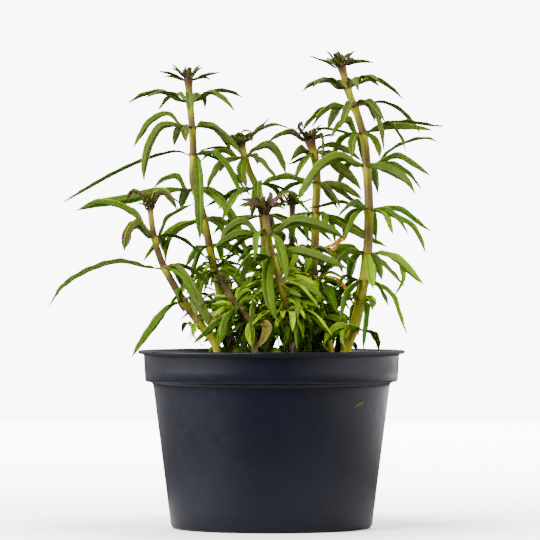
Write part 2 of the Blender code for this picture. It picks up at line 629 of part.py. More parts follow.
def arched_route(root, angle, reach, crest, droop, sway):
    """A leaf that rises to its crest and droops to its tip, in the direction of the angle, and bends
    sideways by its sway."""
    out = Vector((math.cos(angle), math.sin(angle), 0))
    handle = root + out * reach * 0.45 + UP * crest + out.cross(UP) * sway
    tip = root + out * reach - UP * droop
    return [root * (1 - t) ** 2 + handle * 2 * t * (1 - t) + tip * t * t for t in (0.3, 0.65, 1.0)]


def leaf_directions(whorl, root, seed):
    """All leaves of a whorl in order round the stem, as (direction, the drawn leaf or None)."""
    entries = []
    for drawn in whorl["leaves"]:
        to = drawn_route(drawn, root, 0)[0 if len(drawn["route"]) < 4 else 1] - root
        entries.append((math.atan2(to.y, to.x) % (2 * math.pi), drawn))
    for angle in whorl["fill"]:
        entries.append((math.radians(angle + seed.uniform(-8, 8)) % (2 * math.pi), None))
    return sorted(entries, key=lambda entry: entry[0])


def seat_angles(angles):
    """Where each leaf sits on the ring: near its own direction, but evenly spread."""
    count = len(angles)
    step = 2 * math.pi / count
    offsets = [angles[i] - i * step for i in range(count)]
    shift = sum(offsets) / count
    return [shift + i * step + 0.2 * (offsets[i] - shift) for i in range(count)]


def choices(is_drawn):
    """What may change to find room, from the least to the most."""
    if is_drawn:
        for width in (1.0, 0.85, 0.7):
            for shift in (0, -2, 2, -4, 4, -6, 6, -9, 9, -12, 12):
                yield shift, 0, width
        return
    for size in (1.0, 0.85, 0.7, 0.55, 0.42, 0.3, 0.18, 0.1):
        for turn in (0, 8, -8, 16, -16, 24, -24):
            for lift in (0, 3, -3, 6):
                yield turn, lift, size


def find_leaf(entry, seat, whorl, cluster, room, own, seed):
    """The sections of one leaf, moved as little as it takes to stand clear of everything else."""
    angle, drawn = entry
    root, u, v, outer = cluster["root"], cluster["u"], cluster["v"], cluster["outer"]
    outward = u * math.cos(seat) + v * math.sin(seat)
    start = root + outward * outer
    reach = whorl["reach"] * seed.uniform(0.78, 1.15)
    sway = seed.uniform(-0.16, 0.16) * reach
    crest = whorl["crest"] + seed.uniform(-0.06, 0.06) * reach
    droop = whorl["droop"] + seed.uniform(-0.2, 0.2) * reach
    width = seed.uniform(3.9, 4.8) * min(1, 0.3 + reach / 32)
    best = None
    for first, second, size in choices(drawn is not None):
        if drawn:
            route = drawn_route(drawn, root, first)
            heading = Vector((route[-1].x - root.x, route[-1].y - root.y, 0))
            sections, tip = leaf_sections(cluster, start, outward, route, drawn["width"] * size, drawn["tilt"], heading)
        else:
            turned = angle + math.radians(first)
            route = arched_route(start, turned, reach * size, crest + second, droop * size, sway * size)
            heading = Vector((math.cos(turned), math.sin(turned), 0))
            sections, tip = leaf_sections(cluster, start, outward, route, width * (0.5 + size / 2), 0, heading)
        best = (sections, tip, start)
        near = (cluster["ring"], own + "_roots")
        if (room.clear(*thick_leaf(sections, tip, CLEARANCE, start), (*near, own, cluster["stem"]))
                and room.clear(*thick_leaf(sections, tip, 0.06), near)):
            return best, True
    return best, False


def keep_clear(room, shape, owner):
    """Marks a leaf's room as taken: its blade, and its root apart, which its own whorl may touch."""
    sections, tip, start = shape
    room.add(*thick_leaf(sections, tip, 0.0), owner)
    left, right, keel = sections[0]
    room.add(*thick_leaf([(left + start - keel, right + start - keel, start), sections[0]], keel, 0.0),
             owner + "_roots")


def leaf_faces(quad, first, sections):
    """Faces of a leaf that grows from a four-sided patch (low angle top, high angle top, high angle
    bottom, low angle bottom). Its points start at the index first, with the tip last."""
    low_top, high_top, high_foot, low_foot = quad
    left, right, keel = first, first + 1, first + 2
    faces = [(low_top, high_top, right, left), (high_top, high_foot, right), (high_foot, keel, right),
             (high_foot, low_foot, keel), (low_foot, low_top, left), (low_foot, left, keel)]
    for i in range(len(sections) - 1):
        a, b = first + 3 * i, first + 3 * i + 3
        for k in range(3):
            n = (k + 1) % 3
            faces.append((a + k, a + n, b + n))
            faces.append((a + k, b + n, b + k))
    a, tip = first + 3 * (len(sections) - 1), first + 3 * len(sections)
    faces += [(a, a + 1, tip), (a + 1, a + 2, tip), (a + 2, a, tip)]
    return faces


def seat_bounds(seats):
    """The angles between neighbouring seats, one before each leaf."""
    count = len(seats)
    return [(seats[i] + seats[i - 1] - (2 * math.pi if i == 0 else 0)) / 2 for i in range(count)]


def circle(centre, u, v, radius, angles, lift, axis):
    return [centre + (u * math.cos(a) + v * math.sin(a)) * radius + axis * lift for a in angles]


def whorl_mesh(cluster, leaves):
    """A ring round the stem whose outer wall grows out into the leaves."""
    angles = cluster["bounds"]
    count = len(angles)
    root, u, v, axis = cluster["root"], cluster["u"], cluster["v"], cluster["axis"]
    points = []
    for radius, lift in ((cluster["outer"], 0.5), (cluster["outer"], -0.5),
                         (cluster["inner"], 0.5), (cluster["inner"], -0.5)):
        points += circle(root, u, v, radius, angles, lift * RING_HEIGHT, axis)
    faces = []
    for i, (sections, tip) in enumerate(leaves):
        n = (i + 1) % count
        faces.append((i, n, 2 * count + n, 2 * count + i))
        faces.append((count + i, 3 * count + i, 3 * count + n, count + n))
        faces.append((2 * count + i, 2 * count + n, 3 * count + n, 3 * count + i))
        faces += leaf_faces((i, n, count + n, count + i), len(points), sections)
        points += [point for section in sections for point in section] + [tip]
    return points, faces


def crown_mesh(cluster, tiers):
    """A closed bud on the stem's end, with a ring of leaves from each of its tiers."""
    count = len(cluster["bounds"])
    root, u, v, axis = cluster["root"], cluster["u"], cluster["v"], cluster["axis"]
    points, faces = [root - axis * RING_HEIGHT / 2], []
    before = None
    for level, leaves in enumerate(tiers):
        radius = cluster["outer"] * (1 - 0.3 * level)
        lift = RING_HEIGHT * level
        rows = []
        for height in (lift - RING_HEIGHT / 2, lift + RING_HEIGHT / 2):
            rows.append(len(points))
            points += circle(root, u, v, radius, cluster["bounds"], height, axis)
        foot, top = rows
        for i, (sections, tip) in enumerate(leaves):
            n = (i + 1) % count
            faces.append((foot + n, foot + i, 0) if before is None
                         else (before + i, before + n, foot + n, foot + i))
            faces += leaf_faces((top + i, top + n, foot + n, foot + i), len(points), sections)
            points += [point for section in sections for point in section] + [tip]
        before = top
    radius, height = cluster["bud"]
    foot = RING_HEIGHT * (len(tiers) - 0.5)
    for width, lift in BUD_SHAPE:
        row = len(points)
        points += circle(root, u, v, radius * width, cluster["bounds"], foot + height * lift, axis)
        faces += [(before + i, before + (i + 1) % count, row + (i + 1) % count, row + i) for i in range(count)]
        before = row
    points.append(root + axis * (foot + height))
    faces += [(before + i, before + (i + 1) % count, len(points) - 1) for i in range(count)]
    return points, faces


def bud_space(cluster):
    """The bud above the crown's leaves, as a simple body to test for room."""
    radius, height = cluster["bud"]
    foot = cluster["root"] + cluster["axis"] * RING_HEIGHT * 1.5
    ends = [foot + cluster["axis"] * height * lift for _, lift in BUD_SHAPE]
    return tube(ends, [radius * width for width, _ in BUD_SHAPE], 8)


def open_cluster(stem, name, root, axis, entries, is_crown):
    """Where a whorl's or a crown's ring stands, and how wide it is."""
    seats = seat_angles([angle for angle, _ in entries])
    between = seat_bounds(seats)
    widest = max((between[(i + 1) % len(between)] - a) % (2 * math.pi) for i, a in enumerate(between))
    u, v = frame_along(axis)
    inner = (stem_radius(stem, root.z) + RING_GAP) / math.cos(widest / 2)
    outer = stem_radius(stem, root.z) * 0.95 if is_crown else inner + RING_WALL
    return {"root": root, "axis": axis, "u": u, "v": v, "inner": inner, "outer": outer, "seats": seats,
            "bounds": between, "ring": name + "_ring", "stem": stem["name"]}


def lay_out(seed):
    """All whorls and crowns with their rings in place, before any leaf is grown."""
    clusters = []
    for name, stem in STEMS.items():
        stem["name"] = name
        lay_stem(stem)
        end, before = stem["centres"][-1], stem["centres"][-2]
        axis = (end - before).normalized()
        root = end + axis * (GAP + RING_HEIGHT / 2)
        size = stem["crown"]["size"]
        crown = {"leaves": stem["crown"]["leaves"], "fill": stem["crown"]["fill"], "bud": stem["crown"]["bud"],
                 "reach": size, "crest": size * 0.25, "droop": -size * 0.2}
        clusters.append((f"{name}_crown", stem, crown, root, axis, True))
        for number, whorl in enumerate(stem["whorls"], 1):
            clusters.append((f"{name}_whorl_{number}", stem, whorl, *stem_point(stem, whorl["down"]), False))
    made = []
    for name, stem, whorl, root, axis, is_crown in clusters:
        entries = leaf_directions(whorl, root, seed)
        cluster = open_cluster(stem, name, root, axis, entries, is_crown)
        cluster["bud"] = whorl.get("bud")
        made.append((name, whorl, entries, cluster, is_crown))
    return made


def grow(laid, room, seed):
    """Finds every leaf's shape, the drawn ones first, and returns each whorl's leaves in order."""
    found = {}
    for wanted_drawn in (True, False):
        for name, whorl, entries, cluster, _ in laid:
            for i, entry in enumerate(entries):
                if (entry[1] is not None) is not wanted_drawn:
                    continue
                shape, fits = find_leaf(entry, cluster["seats"][i], whorl, cluster, room, name, seed)
                if not fits:
                    print("no room for leaf", i, "of", name, "drawn" if wanted_drawn else "filler")
                found[name, i] = shape[:2]
                keep_clear(room, shape, name)
    return found


def inner_tier(name, cluster, room, size, seed):
    """The short upright leaves inside a crown."""
    upper = dict(cluster, root=cluster["root"] + cluster["axis"] * RING_HEIGHT, outer=cluster["outer"] * 0.7)
    tier = []
    for seat in cluster["seats"]:
        rule = {"reach": size * 0.55, "crest": size * 0.3, "droop": -size * 0.4}
        shape, fits = find_leaf((seat, None), seat, rule, upper, room, name, seed)
        if not fits:
            print("no room inside", name)
        tier.append(shape[:2])
        keep_clear(room, shape, name)
    return tier


def main():
    clear_scene()
    seed = random.Random(21)
    pot = add_object("pot", *lathe(pot_profile(), POT_SIDES), "pot")
    cut(pot, drain_holes())
    laid = lay_out(seed)

    soil = add_object("substrate", *substrate_mesh(), "substrate")
    room = Room()
    room.add(*lathe(pot_profile(), POT_SIDES), "pot")
    room.add(*substrate_mesh(), "substrate")
    pockets = []
    for name, stem in STEMS.items():
        kind = "twig" if name == "twig_stem" else "stem"
        add_object(name, *stem_mesh(stem), kind)
        room.add(*stem_mesh(stem), name)
        pocket = [centre for centre in stem["centres"] if centre.z < SOIL_TOP + 14]
        radii = [stem_radius(stem, centre.z) + GAP for centre in pocket]
        pocket[0] = pocket[0] - UP * GAP
        pockets.append(add_object(f"{name}_pocket_cutter", *tube(pocket, radii, STEM_SIDES), kind))
    cut(soil, pockets)
    for name, _, _, cluster, is_crown in laid:
        ends = [cluster["root"] + cluster["axis"] * (RING_HEIGHT / 2 + 0.5) * side for side in (-1, 1)]
        room.add(*tube(ends, [cluster["outer"] + RING_ROOM] * 2, 8), cluster["ring"])
        if is_crown:
            room.add(*bud_space(cluster), name)

    found = grow(laid, room, seed)
    for name, whorl, entries, cluster, is_crown in laid:
        leaves = [found[name, i] for i in range(len(entries))]
        if is_crown:
            tiers = [leaves, inner_tier(name, cluster, room, whorl["reach"], seed)]
            add_object(name, *crown_mesh(cluster, tiers), "young_leaf")
        else:
            add_object(name, *whorl_mesh(cluster, leaves), "leaf")


main()
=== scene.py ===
"""The looks of a potted Pogostemon stellatus: its leaves, stems, pot and growing medium."""

import math
import random

import bmesh
import bpy
from mathutils import Matrix, Vector, noise


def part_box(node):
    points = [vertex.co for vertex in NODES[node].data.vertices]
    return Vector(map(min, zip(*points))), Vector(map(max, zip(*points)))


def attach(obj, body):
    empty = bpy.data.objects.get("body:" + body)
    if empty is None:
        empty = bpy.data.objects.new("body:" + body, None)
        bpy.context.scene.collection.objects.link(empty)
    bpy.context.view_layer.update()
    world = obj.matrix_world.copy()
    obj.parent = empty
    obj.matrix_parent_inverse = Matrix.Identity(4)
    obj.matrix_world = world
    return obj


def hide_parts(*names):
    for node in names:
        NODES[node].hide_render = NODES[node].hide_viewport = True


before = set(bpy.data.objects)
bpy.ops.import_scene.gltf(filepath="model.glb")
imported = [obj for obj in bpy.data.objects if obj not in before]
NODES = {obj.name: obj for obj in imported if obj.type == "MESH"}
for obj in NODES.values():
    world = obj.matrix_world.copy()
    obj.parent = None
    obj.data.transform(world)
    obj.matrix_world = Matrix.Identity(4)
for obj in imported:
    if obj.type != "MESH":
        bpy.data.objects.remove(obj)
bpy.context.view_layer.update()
MM = 0.001
UP = Vector((0, 0, 1))
# A full turn in radians, near enough for a random heading
TURN = 6.28
seed = random.Random(7)

# The photograph's view, in metres. A place on its grid is counted right from the left edge and down.
VIEW_DISTANCE = 2.06
VIEW_HEIGHT = 0.116
GRID_STEP = 0.4494 * MM
GRID_AXIS = 271.5
GRID_RIM = 350.0
GRID_WIDTH = 540

POT_LOW, POT_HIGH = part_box("pot")
RIM_HEIGHT = POT_HIGH[2]
FLANGE_R = (POT_HIGH[0] - POT_LOW[0]) / 2
SOIL_LOW, SOIL_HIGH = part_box("substrate")
SOIL_R = (SOIL_HIGH[0] - SOIL_LOW[0]) / 2

# The freshness of a whorl's greenest leaf: only side shoots are paler and yellower than that.
FULL_GREEN = 0.85

# Leaf blades: how thick they are at the middle, how much the midrib adds below and how deep its groove is
# above, how long a row of faces is, how few or many rows there are, and the edge's teeth and ripples
BLADE_THICK = 0.26 * MM
RIB_THICK = 0.28 * MM
RIB_GROOVE = 0.10 * MM
BLADE_STEP = 0.85 * MM
BLADE_ROWS = (8, 64)
TOOTH_PITCH = 3.1 * MM
TOOTH_DEPTH = 0.05 * MM
RIPPLE_PITCH = 6.5 * MM
# The places of a blade's points across it, from one edge to the other
ACROSS = (-1, -0.72, -0.42, -0.14, 0, 0.14, 0.42, 0.72, 1)
# The width of a blade as a share of its solid's, on whorls and on side shoots
LEAF_SLIM = 0.98
SHOOT_SLIM = 0.90

# Stems: the points of a ring, the length of a row of faces, and the least height between two of the rings
# that a stem's solid is made of
STEM_SIDES = 20
STEM_STEP = 0.9 * MM
SOLID_RING_GAP = 2.6 * MM


def place(across, down, depth):
    """The point that is seen at this place of the photograph's grid, at this depth behind the pot's axis."""
    spread = 1 + depth / VIEW_DISTANCE
    x = (across - GRID_AXIS) * GRID_STEP
    z = RIM_HEIGHT + (GRID_RIM - down) * GRID_STEP
    return Vector((x * spread, depth, VIEW_HEIGHT + (z - VIEW_HEIGHT) * spread))


# Node tools

def new_material(name):
    """A material, its node tree and its shader."""
    made = bpy.data.materials.new(name)
    made.use_nodes = True
    return made, made.node_tree, made.node_tree.nodes["Principled BSDF"]


def wire(tree, output, target):
    """Links an output to an input."""
    tree.links.new(output, target)


def maths(tree, operation, a, b=0.0, clamp=False):
    """A sum on numbers or outputs."""
    node = tree.nodes.new("ShaderNodeMath")
    node.operation = operation
    node.use_clamp = clamp
    for socket, value in zip(node.inputs, (a, b)):
        if isinstance(value, (int, float)):
            socket.default_value = value
        else:
            wire(tree, value, socket)
    return node.outputs[0]


def mix_colour(tree, factor, a, b, blend="MIX"):
    """A colour between a and b, each a colour or an output."""
    node = tree.nodes.new("ShaderNodeMix")
    node.data_type = "RGBA"
    node.blend_type = blend
    for name, value in (("Factor_Float", factor), ("A_Color", a), ("B_Color", b)):
        socket = next(s for s in node.inputs if s.identifier == name)
        if isinstance(value, (int, float)):
            socket.default_value = value
        elif isinstance(value, tuple):
            socket.default_value = (*value, 1)
        else:
            wire(tree, value, socket)
    return next(s for s in node.outputs if s.identifier == "Result_Color")


def mix_value(tree, factor, a, b):
    """A number that goes from a to b with the factor."""
    return maths(tree, "ADD", maths(tree, "MULTIPLY", factor, b - a), a)


def ramp(tree, factor, stops, smooth=True):
    """A colour ramp of (place, colour or grey) stops."""
    node = tree.nodes.new("ShaderNodeValToRGB")
    node.color_ramp.interpolation = "EASE" if smooth else "LINEAR"
    elements = node.color_ramp.elements
    while len(elements) < len(stops):
        elements.new(0.5)
    for element, (at, colour) in zip(elements, stops):
        element.position = at
        element.color = (*colour, 1) if isinstance(colour, tuple) else (colour, colour, colour, 1)
    wire(tree, factor, node.inputs[0])
    return node.outputs[0]


def noise_field(tree, scale, detail=3.0, roughness=0.55, stretch=(1, 1, 1), offset=(0, 0, 0)):
    """Noise over the object, in cells of 1/scale metres, stretched along its axes."""
    places = tree.nodes.new("ShaderNodeTexCoord")
    turn = tree.nodes.new("ShaderNodeMapping")
    turn.inputs["Scale"].default_value = stretch
    turn.inputs["Location"].default_value = offset
    wire(tree, places.outputs["Object"], turn.inputs["Vector"])
    node = tree.nodes.new("ShaderNodeTexNoise")
    node.inputs["Scale"].default_value = scale
    node.inputs["Detail"].default_value = detail
    node.inputs["Roughness"].default_value = roughness
    wire(tree, turn.outputs[0], node.inputs["Vector"])
    return node.outputs["Fac"]


def attribute(tree, name):
    """The three channels of a colour attribute."""
    node = tree.nodes.new("ShaderNodeAttribute")
    node.attribute_name = name
    split = tree.nodes.new("ShaderNodeSeparateColor")
    wire(tree, node.outputs["Color"], split.inputs[0])
    return split.outputs[0], split.outputs[1], split.outputs[2]


def bump(tree, height, distance, strength=1.0, base=None):
    """The normal of a relief of this depth in metres, over another normal if one is given."""
    node = tree.nodes.new("ShaderNodeBump")
    node.inputs["Distance"].default_value = distance
    node.inputs["Strength"].default_value = strength
    wire(tree, height, node.inputs["Height"])
    if base:
        wire(tree, base, node.inputs["Normal"])
    return node.outputs[0]


def group(name, inputs, outputs):
    """An empty node group with these named sockets, and its inner input and output nodes."""
    tree = bpy.data.node_groups.new(name, "ShaderNodeTree")
    for label, kind, value in inputs:
        socket = tree.interface.new_socket(label, in_out="INPUT", socket_type=kind)
        socket.default_value = value
    for label, kind in outputs:
        tree.interface.new_socket(label, in_out="OUTPUT", socket_type=kind)
    return tree, tree.nodes.new("NodeGroupInput"), tree.nodes.new("NodeGroupOutput")


def use(tree, shared, **values):
    """Places a node group in a material, with its own values."""
    node = tree.nodes.new("ShaderNodeGroup")
    node.node_tree = shared
    for label, value in values.items():
        socket = node.inputs[label.replace("_", " ")]
        if isinstance(value, (int, float)):
            socket.default_value = value
        elif isinstance(value, tuple):
            socket.default_value = (*value, 1)
        else:
            wire(tree, value, socket)
    return node


# Shared effects

def make_mottle():
    """Uneven pigment: a colour that drifts to another in soft patches and fine flecks."""
    tree, inner, outer = group(
        "pigment mottle",
        [("Colour", "NodeSocketColor", (0.1, 0.2, 0.05, 1)),
         ("Patch colour", "NodeSocketColor", (0.2, 0.3, 0.1, 1)),
         ("Amount", "NodeSocketFloat", 0.5), ("Flecks", "NodeSocketFloat", 0.2)],
        [("Colour", "NodeSocketColor")])
    patches = ramp(tree, noise_field(tree, 160, 3), [(0.38, 0.0), (0.64, 1.0)])
    amount = maths(tree, "MULTIPLY", patches, inner.outputs["Amount"])
    patched = mix_colour(tree, amount, inner.outputs["Colour"], inner.outputs["Patch colour"])
    flecks = ramp(tree, noise_field(tree, 1500, 2), [(0.35, 0.55), (0.62, 1.25)])
    flecked = mix_colour(tree, inner.outputs["Flecks"], patched, flecks, "MULTIPLY")
    wire(tree, flecked, outer.inputs["Colour"])
    return tree


def make_gloss():
    """An uneven gloss: a roughness that drops from dull to glossy in broken patches."""
    tree, inner, outer = group(
        "uneven gloss",
        [("Dull roughness", "NodeSocketFloat", 0.5), ("Glossy roughness", "NodeSocketFloat", 0.15),
         ("Cover", "NodeSocketFloat", 0.5)],
        [("Roughness", "NodeSocketFloat")])
    drift = maths(tree, "ADD", noise_field(tree, 210, 4, offset=(3, 1, 2)), inner.outputs["Cover"])
    patches = ramp(tree, maths(tree, "SUBTRACT", drift, 0.5), [(0.36, 0.0), (0.60, 1.0)])
    span = maths(tree, "SUBTRACT", inner.outputs["Glossy roughness"], inner.outputs["Dull roughness"])
    rough = maths(tree, "ADD", inner.outputs["Dull roughness"], maths(tree, "MULTIPLY", span, patches))
    wire(tree, rough, outer.inputs["Roughness"])
    return tree


MOTTLE = make_mottle()
GLOSS = make_gloss()


def mottled(tree, colour, patch_colour, amount, flecks):
    """A colour with uneven pigment."""
    node = use(tree, MOTTLE, Colour=colour, Patch_colour=patch_colour, Amount=amount, Flecks=flecks)
    return node.outputs["Colour"]


def uneven_gloss(tree, dull, glossy, cover):
    """The roughness of an uneven gloss."""
    return use(tree, GLOSS, Dull_roughness=dull, Glossy_roughness=glossy, Cover=cover).outputs["Roughness"]


# Materials

def leaf_material(name, greens, blushes, underside, veining, foot_colour, foot_reach):
    """A leaf blade. Its marks hold the place along it, which face it is, and the place across it; its
    traits hold how fresh it is, how blushed with purple, and how red its foot is."""
    made, tree, shader = new_material(name)
    along, under, across = attribute(tree, "marks")
    freshness, blushed, red_foot = attribute(tree, "traits")
    green = ramp(tree, freshness, list(zip((0.0, 0.45, FULL_GREEN, 1.0), greens)))
    pigment = mottled(tree, green, greens[1], amount=0.25, flecks=0.7)
    rim = ramp(tree, across, [(0.45, 0.0), (1.0, 1.0)])
    outward = maths(tree, "ADD", maths(tree, "MULTIPLY", along, 0.55), maths(tree, "MULTIPLY", rim, 0.3))
    spread = ramp(tree, outward, [(0.05, 0.25), (0.8, 1.0)])
    purple = maths(tree, "MULTIPLY", spread, blushed, clamp=True)
    tint = ramp(tree, blushed, list(zip((0.82, 1.0), blushes)))
    upper = mix_colour(tree, purple, pigment, tint)
    rib = ramp(tree, across, [(0.02, 1.0), (0.16, 0.0)])
    ribbed = mix_colour(tree, maths(tree, "MULTIPLY", rib, 0.35), upper, greens[2])
    foot = maths(tree, "MULTIPLY", ramp(tree, along, [(0.04, 1.0), (foot_reach, 0.0)]),
                 maths(tree, "MAXIMUM", maths(tree, "MULTIPLY", blushed, 2.2, clamp=True), red_foot))
    pale = mix_colour(tree, 0.45, green, underside)
    lower = mix_colour(tree, maths(tree, "MULTIPLY", blushed, 0.8), pale, tint)
    lower_ribbed = mix_colour(tree, maths(tree, "MULTIPLY", rib, 0.5), lower, underside)
    faced = mix_colour(tree, under, ribbed, lower_ribbed)
    # Fine veins run nearly parallel with the midrib.
    lines = maths(tree, "ADD", maths(tree, "MULTIPLY", across, 4.5), maths(tree, "MULTIPLY", along, -2.2))
    wave = maths(tree, "SINE", maths(tree, "MULTIPLY", lines, 2 * math.pi))
    veins = maths(tree, "MULTIPLY", ramp(tree, wave, [(0.35, 0.0), (0.9, 1.0)]),
                  mix_value(tree, under, veining, veining * 2.2))
    veined = mix_colour(tree, veins, faced, mix_colour(tree, 0.55, faced, (0.01, 0.015, 0.003)))
    footed = mix_colour(tree, maths(tree, "MULTIPLY", foot, 0.85), veined, foot_colour)
    wire(tree, footed, shader.inputs["Base Color"])
    gloss = uneven_gloss(tree, dull=0.40, glossy=0.14, cover=0.48)
    wire(tree, gloss, shader.inputs["Roughness"])
    relief = maths(tree, "ADD", maths(tree, "MULTIPLY", veins, -1.2), noise_field(tree, 900, 2))
    wire(tree, bump(tree, relief, 0.00016, 0.9), shader.inputs["Normal"])
    shader.inputs["Subsurface Weight"].default_value = 0.30
    shader.inputs["Subsurface Radius"].default_value = (0.6, 1.0, 0.05)
    shader.inputs["Subsurface Scale"].default_value = 0.0010
    shader.inputs["Specular IOR Level"].default_value = 0.13
    shader.inputs["Specular Tint"].default_value = (0.75, 0.95, 0.35, 1)
    return made


def stem_material(name, below_node, internode, upper, node_band):
    """A stem. Its marks hold how near the node above is, the height up the stem, and the node's band;
    its traits hold how red it is."""
    made, tree, shader = new_material(name)
    near_node, height, band = attribute(tree, "marks")
    redness, _, _ = attribute(tree, "traits")
    rise = maths(tree, "MULTIPLY", ramp(tree, height, [(0.32, 0.0), (0.50, 1.0)]), 1.4)
    reddening = maths(tree, "MULTIPLY", rise, redness, clamp=True)
    body = mix_colour(tree, reddening, internode, mix_colour(tree, redness, upper, (0.055, 0.028, 0.015)))
    lit = mix_colour(tree, maths(tree, "MULTIPLY", near_node, 0.85), body, below_node)
    streaks = noise_field(tree, 900, 3, stretch=(1, 1, 0.07))
    striped = mix_colour(tree, 0.5, lit, ramp(tree, streaks, [(0.3, 0.62), (0.7, 1.3)]), "MULTIPLY")
    pigment = mottled(tree, striped, upper, amount=0.25, flecks=0.35)
    banded = mix_colour(tree, maths(tree, "MULTIPLY", band, 0.96), pigment, node_band)
    wire(tree, banded, shader.inputs["Base Color"])
    shader.inputs["Specular IOR Level"].default_value = 0.35
    shader.inputs["Specular Tint"].default_value = (0.95, 0.90, 0.55, 1)
    gloss = uneven_gloss(tree, dull=0.48, glossy=0.24, cover=0.5)
    wire(tree, gloss, shader.inputs["Roughness"])
    wire(tree, bump(tree, streaks, 0.00025, 0.7), shader.inputs["Normal"])
    shader.inputs["Subsurface Weight"].default_value = 0.15
    shader.inputs["Subsurface Radius"].default_value = (0.6, 0.8, 0.2)
    shader.inputs["Subsurface Scale"].default_value = 0.0015
    return made


def pot_material():
    """Dark moulded plastic with a satin shine, mineral marks and light scuffs."""
    made, tree, shader = new_material("dark moulded plastic")
    cloud = ramp(tree, noise_field(tree, 28, 4), [(0.35, 0.0), (0.7, 1.0)])
    plastic = mix_colour(tree, cloud, (0.0030, 0.0032, 0.0080), (0.0048, 0.0051, 0.0112))
    specks = ramp(tree, noise_field(tree, 2300, 1, 0.4), [(0.735, 0.0), (0.78, 1.0)], smooth=False)
    patches = ramp(tree, noise_field(tree, 90, 3, offset=(5, 5, 5)), [(0.5, 0.0), (0.68, 1.0)])
    marks = maths(tree, "MULTIPLY", specks, patches)
    marked = mix_colour(tree, maths(tree, "MULTIPLY", marks, 0.35), plastic, (0.13, 0.135, 0.14))
    stains = ramp(tree, noise_field(tree, 320, 5, 0.7, stretch=(1, 1, 0.6)), [(0.60, 0.0), (0.75, 1.0)])
    stained = mix_colour(tree, maths(tree, "MULTIPLY", stains, 0.06), marked, (0.06, 0.065, 0.08))
    wire(tree, stained, shader.inputs["Base Color"])
    gloss = uneven_gloss(tree, dull=0.34, glossy=0.28, cover=0.5)
    rough = maths(tree, "ADD", gloss, maths(tree, "MULTIPLY", stains, 0.10))
    wire(tree, rough, shader.inputs["Roughness"])
    grain = noise_field(tree, 2600, 2)
    waves = noise_field(tree, 45, 2, stretch=(1, 1, 0.25))
    soft = bump(tree, waves, 0.0004, 0.2)
    shader.inputs["Specular IOR Level"].default_value = 0.32
    wire(tree, bump(tree, grain, 0.00002, 0.12, soft), shader.inputs["Normal"])
    return made


def soil_material():
    """Dark, fibrous growing medium."""
    made, tree, shader = new_material("damp growing medium")
    browns = [(0.3, (0.010, 0.007, 0.005)), (0.55, (0.032, 0.020, 0.012)), (0.75, (0.085, 0.055, 0.032))]
    wire(tree, ramp(tree, noise_field(tree, 340, 5, 0.7), browns), shader.inputs["Base Color"])
    gloss = uneven_gloss(tree, dull=0.92, glossy=0.5, cover=0.42)
    wire(tree, gloss, shader.inputs["Roughness"])
    wire(tree, bump(tree, noise_field(tree, 700, 5, 0.75), 0.0009, 1.0), shader.inputs["Normal"])
    return made


def dead_material(name, dark, pale):
    """Dry brown plant matter, wrinkled along its length."""
    made, tree, shader = new_material(name)
    shade = ramp(tree, noise_field(tree, 520, 4, 0.65), [(0.32, dark), (0.7, pale)])
    wire(tree, shade, shader.inputs["Base Color"])
    gloss = uneven_gloss(tree, dull=0.75, glossy=0.35, cover=0.45)
    wire(tree, gloss, shader.inputs["Roughness"])
    wire(tree, bump(tree, noise_field(tree, 1100, 3, 0.7), 0.0004, 1.0), shader.inputs["Normal"])
    return made


LEAF = leaf_material(
    "leaf blade",
    greens=((0.012, 0.036, 0.003), (0.046, 0.104, 0.005), (0.25, 0.41, 0.008), (0.40, 0.58, 0.004)),
    blushes=((0.075, 0.042, 0.017), (0.052, 0.022, 0.013)),
    underside=(0.062, 0.092, 0.020), veining=0.16,
    foot_colour=(0.11, 0.046, 0.022), foot_reach=0.24)
YOUNG_LEAF = leaf_material(
    "young leaf blade",
    greens=((0.034, 0.046, 0.010), (0.080, 0.105, 0.018), (0.15, 0.21, 0.020), (0.20, 0.28, 0.02)),
    blushes=((0.052, 0.020, 0.014), (0.15, 0.022, 0.12)),
    underside=(0.055, 0.052, 0.022), veining=0.22,
    foot_colour=(0.050, 0.018, 0.014), foot_reach=0.60)
STEM = stem_material(
    "stem skin",
    below_node=(0.48, 0.48, 0.022), internode=(0.38, 0.37, 0.030),
    upper=(0.125, 0.072, 0.024), node_band=(0.066, 0.024, 0.019))
TWIG = stem_material(
    "twig bark",
    below_node=(0.20, 0.16, 0.045), internode=(0.155, 0.125, 0.042),
    upper=(0.125, 0.088, 0.034), node_band=(0.030, 0.020, 0.010))
POT = pot_material()
SOIL = soil_material()
DEAD_ORANGE = dead_material("orange dry leaf", (0.22, 0.070, 0.006), (0.72, 0.34, 0.04))
DEAD_BROWN = dead_material("shrivelled leaf", (0.040, 0.026, 0.011), (0.13, 0.085, 0.032))
DEAD_PALE = dead_material("withered leaf", (0.055, 0.046, 0.006), (0.145, 0.122, 0.014))
# Near-black dead matter. On the low leaves and roots round the stems' feet it is partly painted shade.
DEAD_DARK_AND_SHADE = dead_material("dead root", (0.010, 0.008, 0.007), (0.060, 0.038, 0.022))


# Meshes

def add_piece(name, mesh, material, smooth=True):
    """A named piece of this mesh: its points and faces and, where it has them, the marks and traits that
    its material reads."""
    points, faces, *colours = mesh
    data = bpy.data.meshes.new(name)
    data.from_pydata(points, [], faces)
    for label, values in zip(("marks", "traits"), colours):
        layer = data.color_attributes.new(label, "FLOAT_COLOR", "POINT")
        layer.data.foreach_set("color", [c for value in values for c in (*value, 1.0)])
    data.materials.append(material)
    if smooth:
        data.shade_smooth()
    made = bpy.data.objects.new(name, data)
    bpy.context.scene.collection.objects.link(made)
    return made


def settle(piece, slot, *nodes):
    """Says which body the piece rides on, and the solids that it stands for. The slot, its finish, is not
    used.
    """
    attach(piece, "root")
    if nodes:
        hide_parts(*nodes)
    return piece


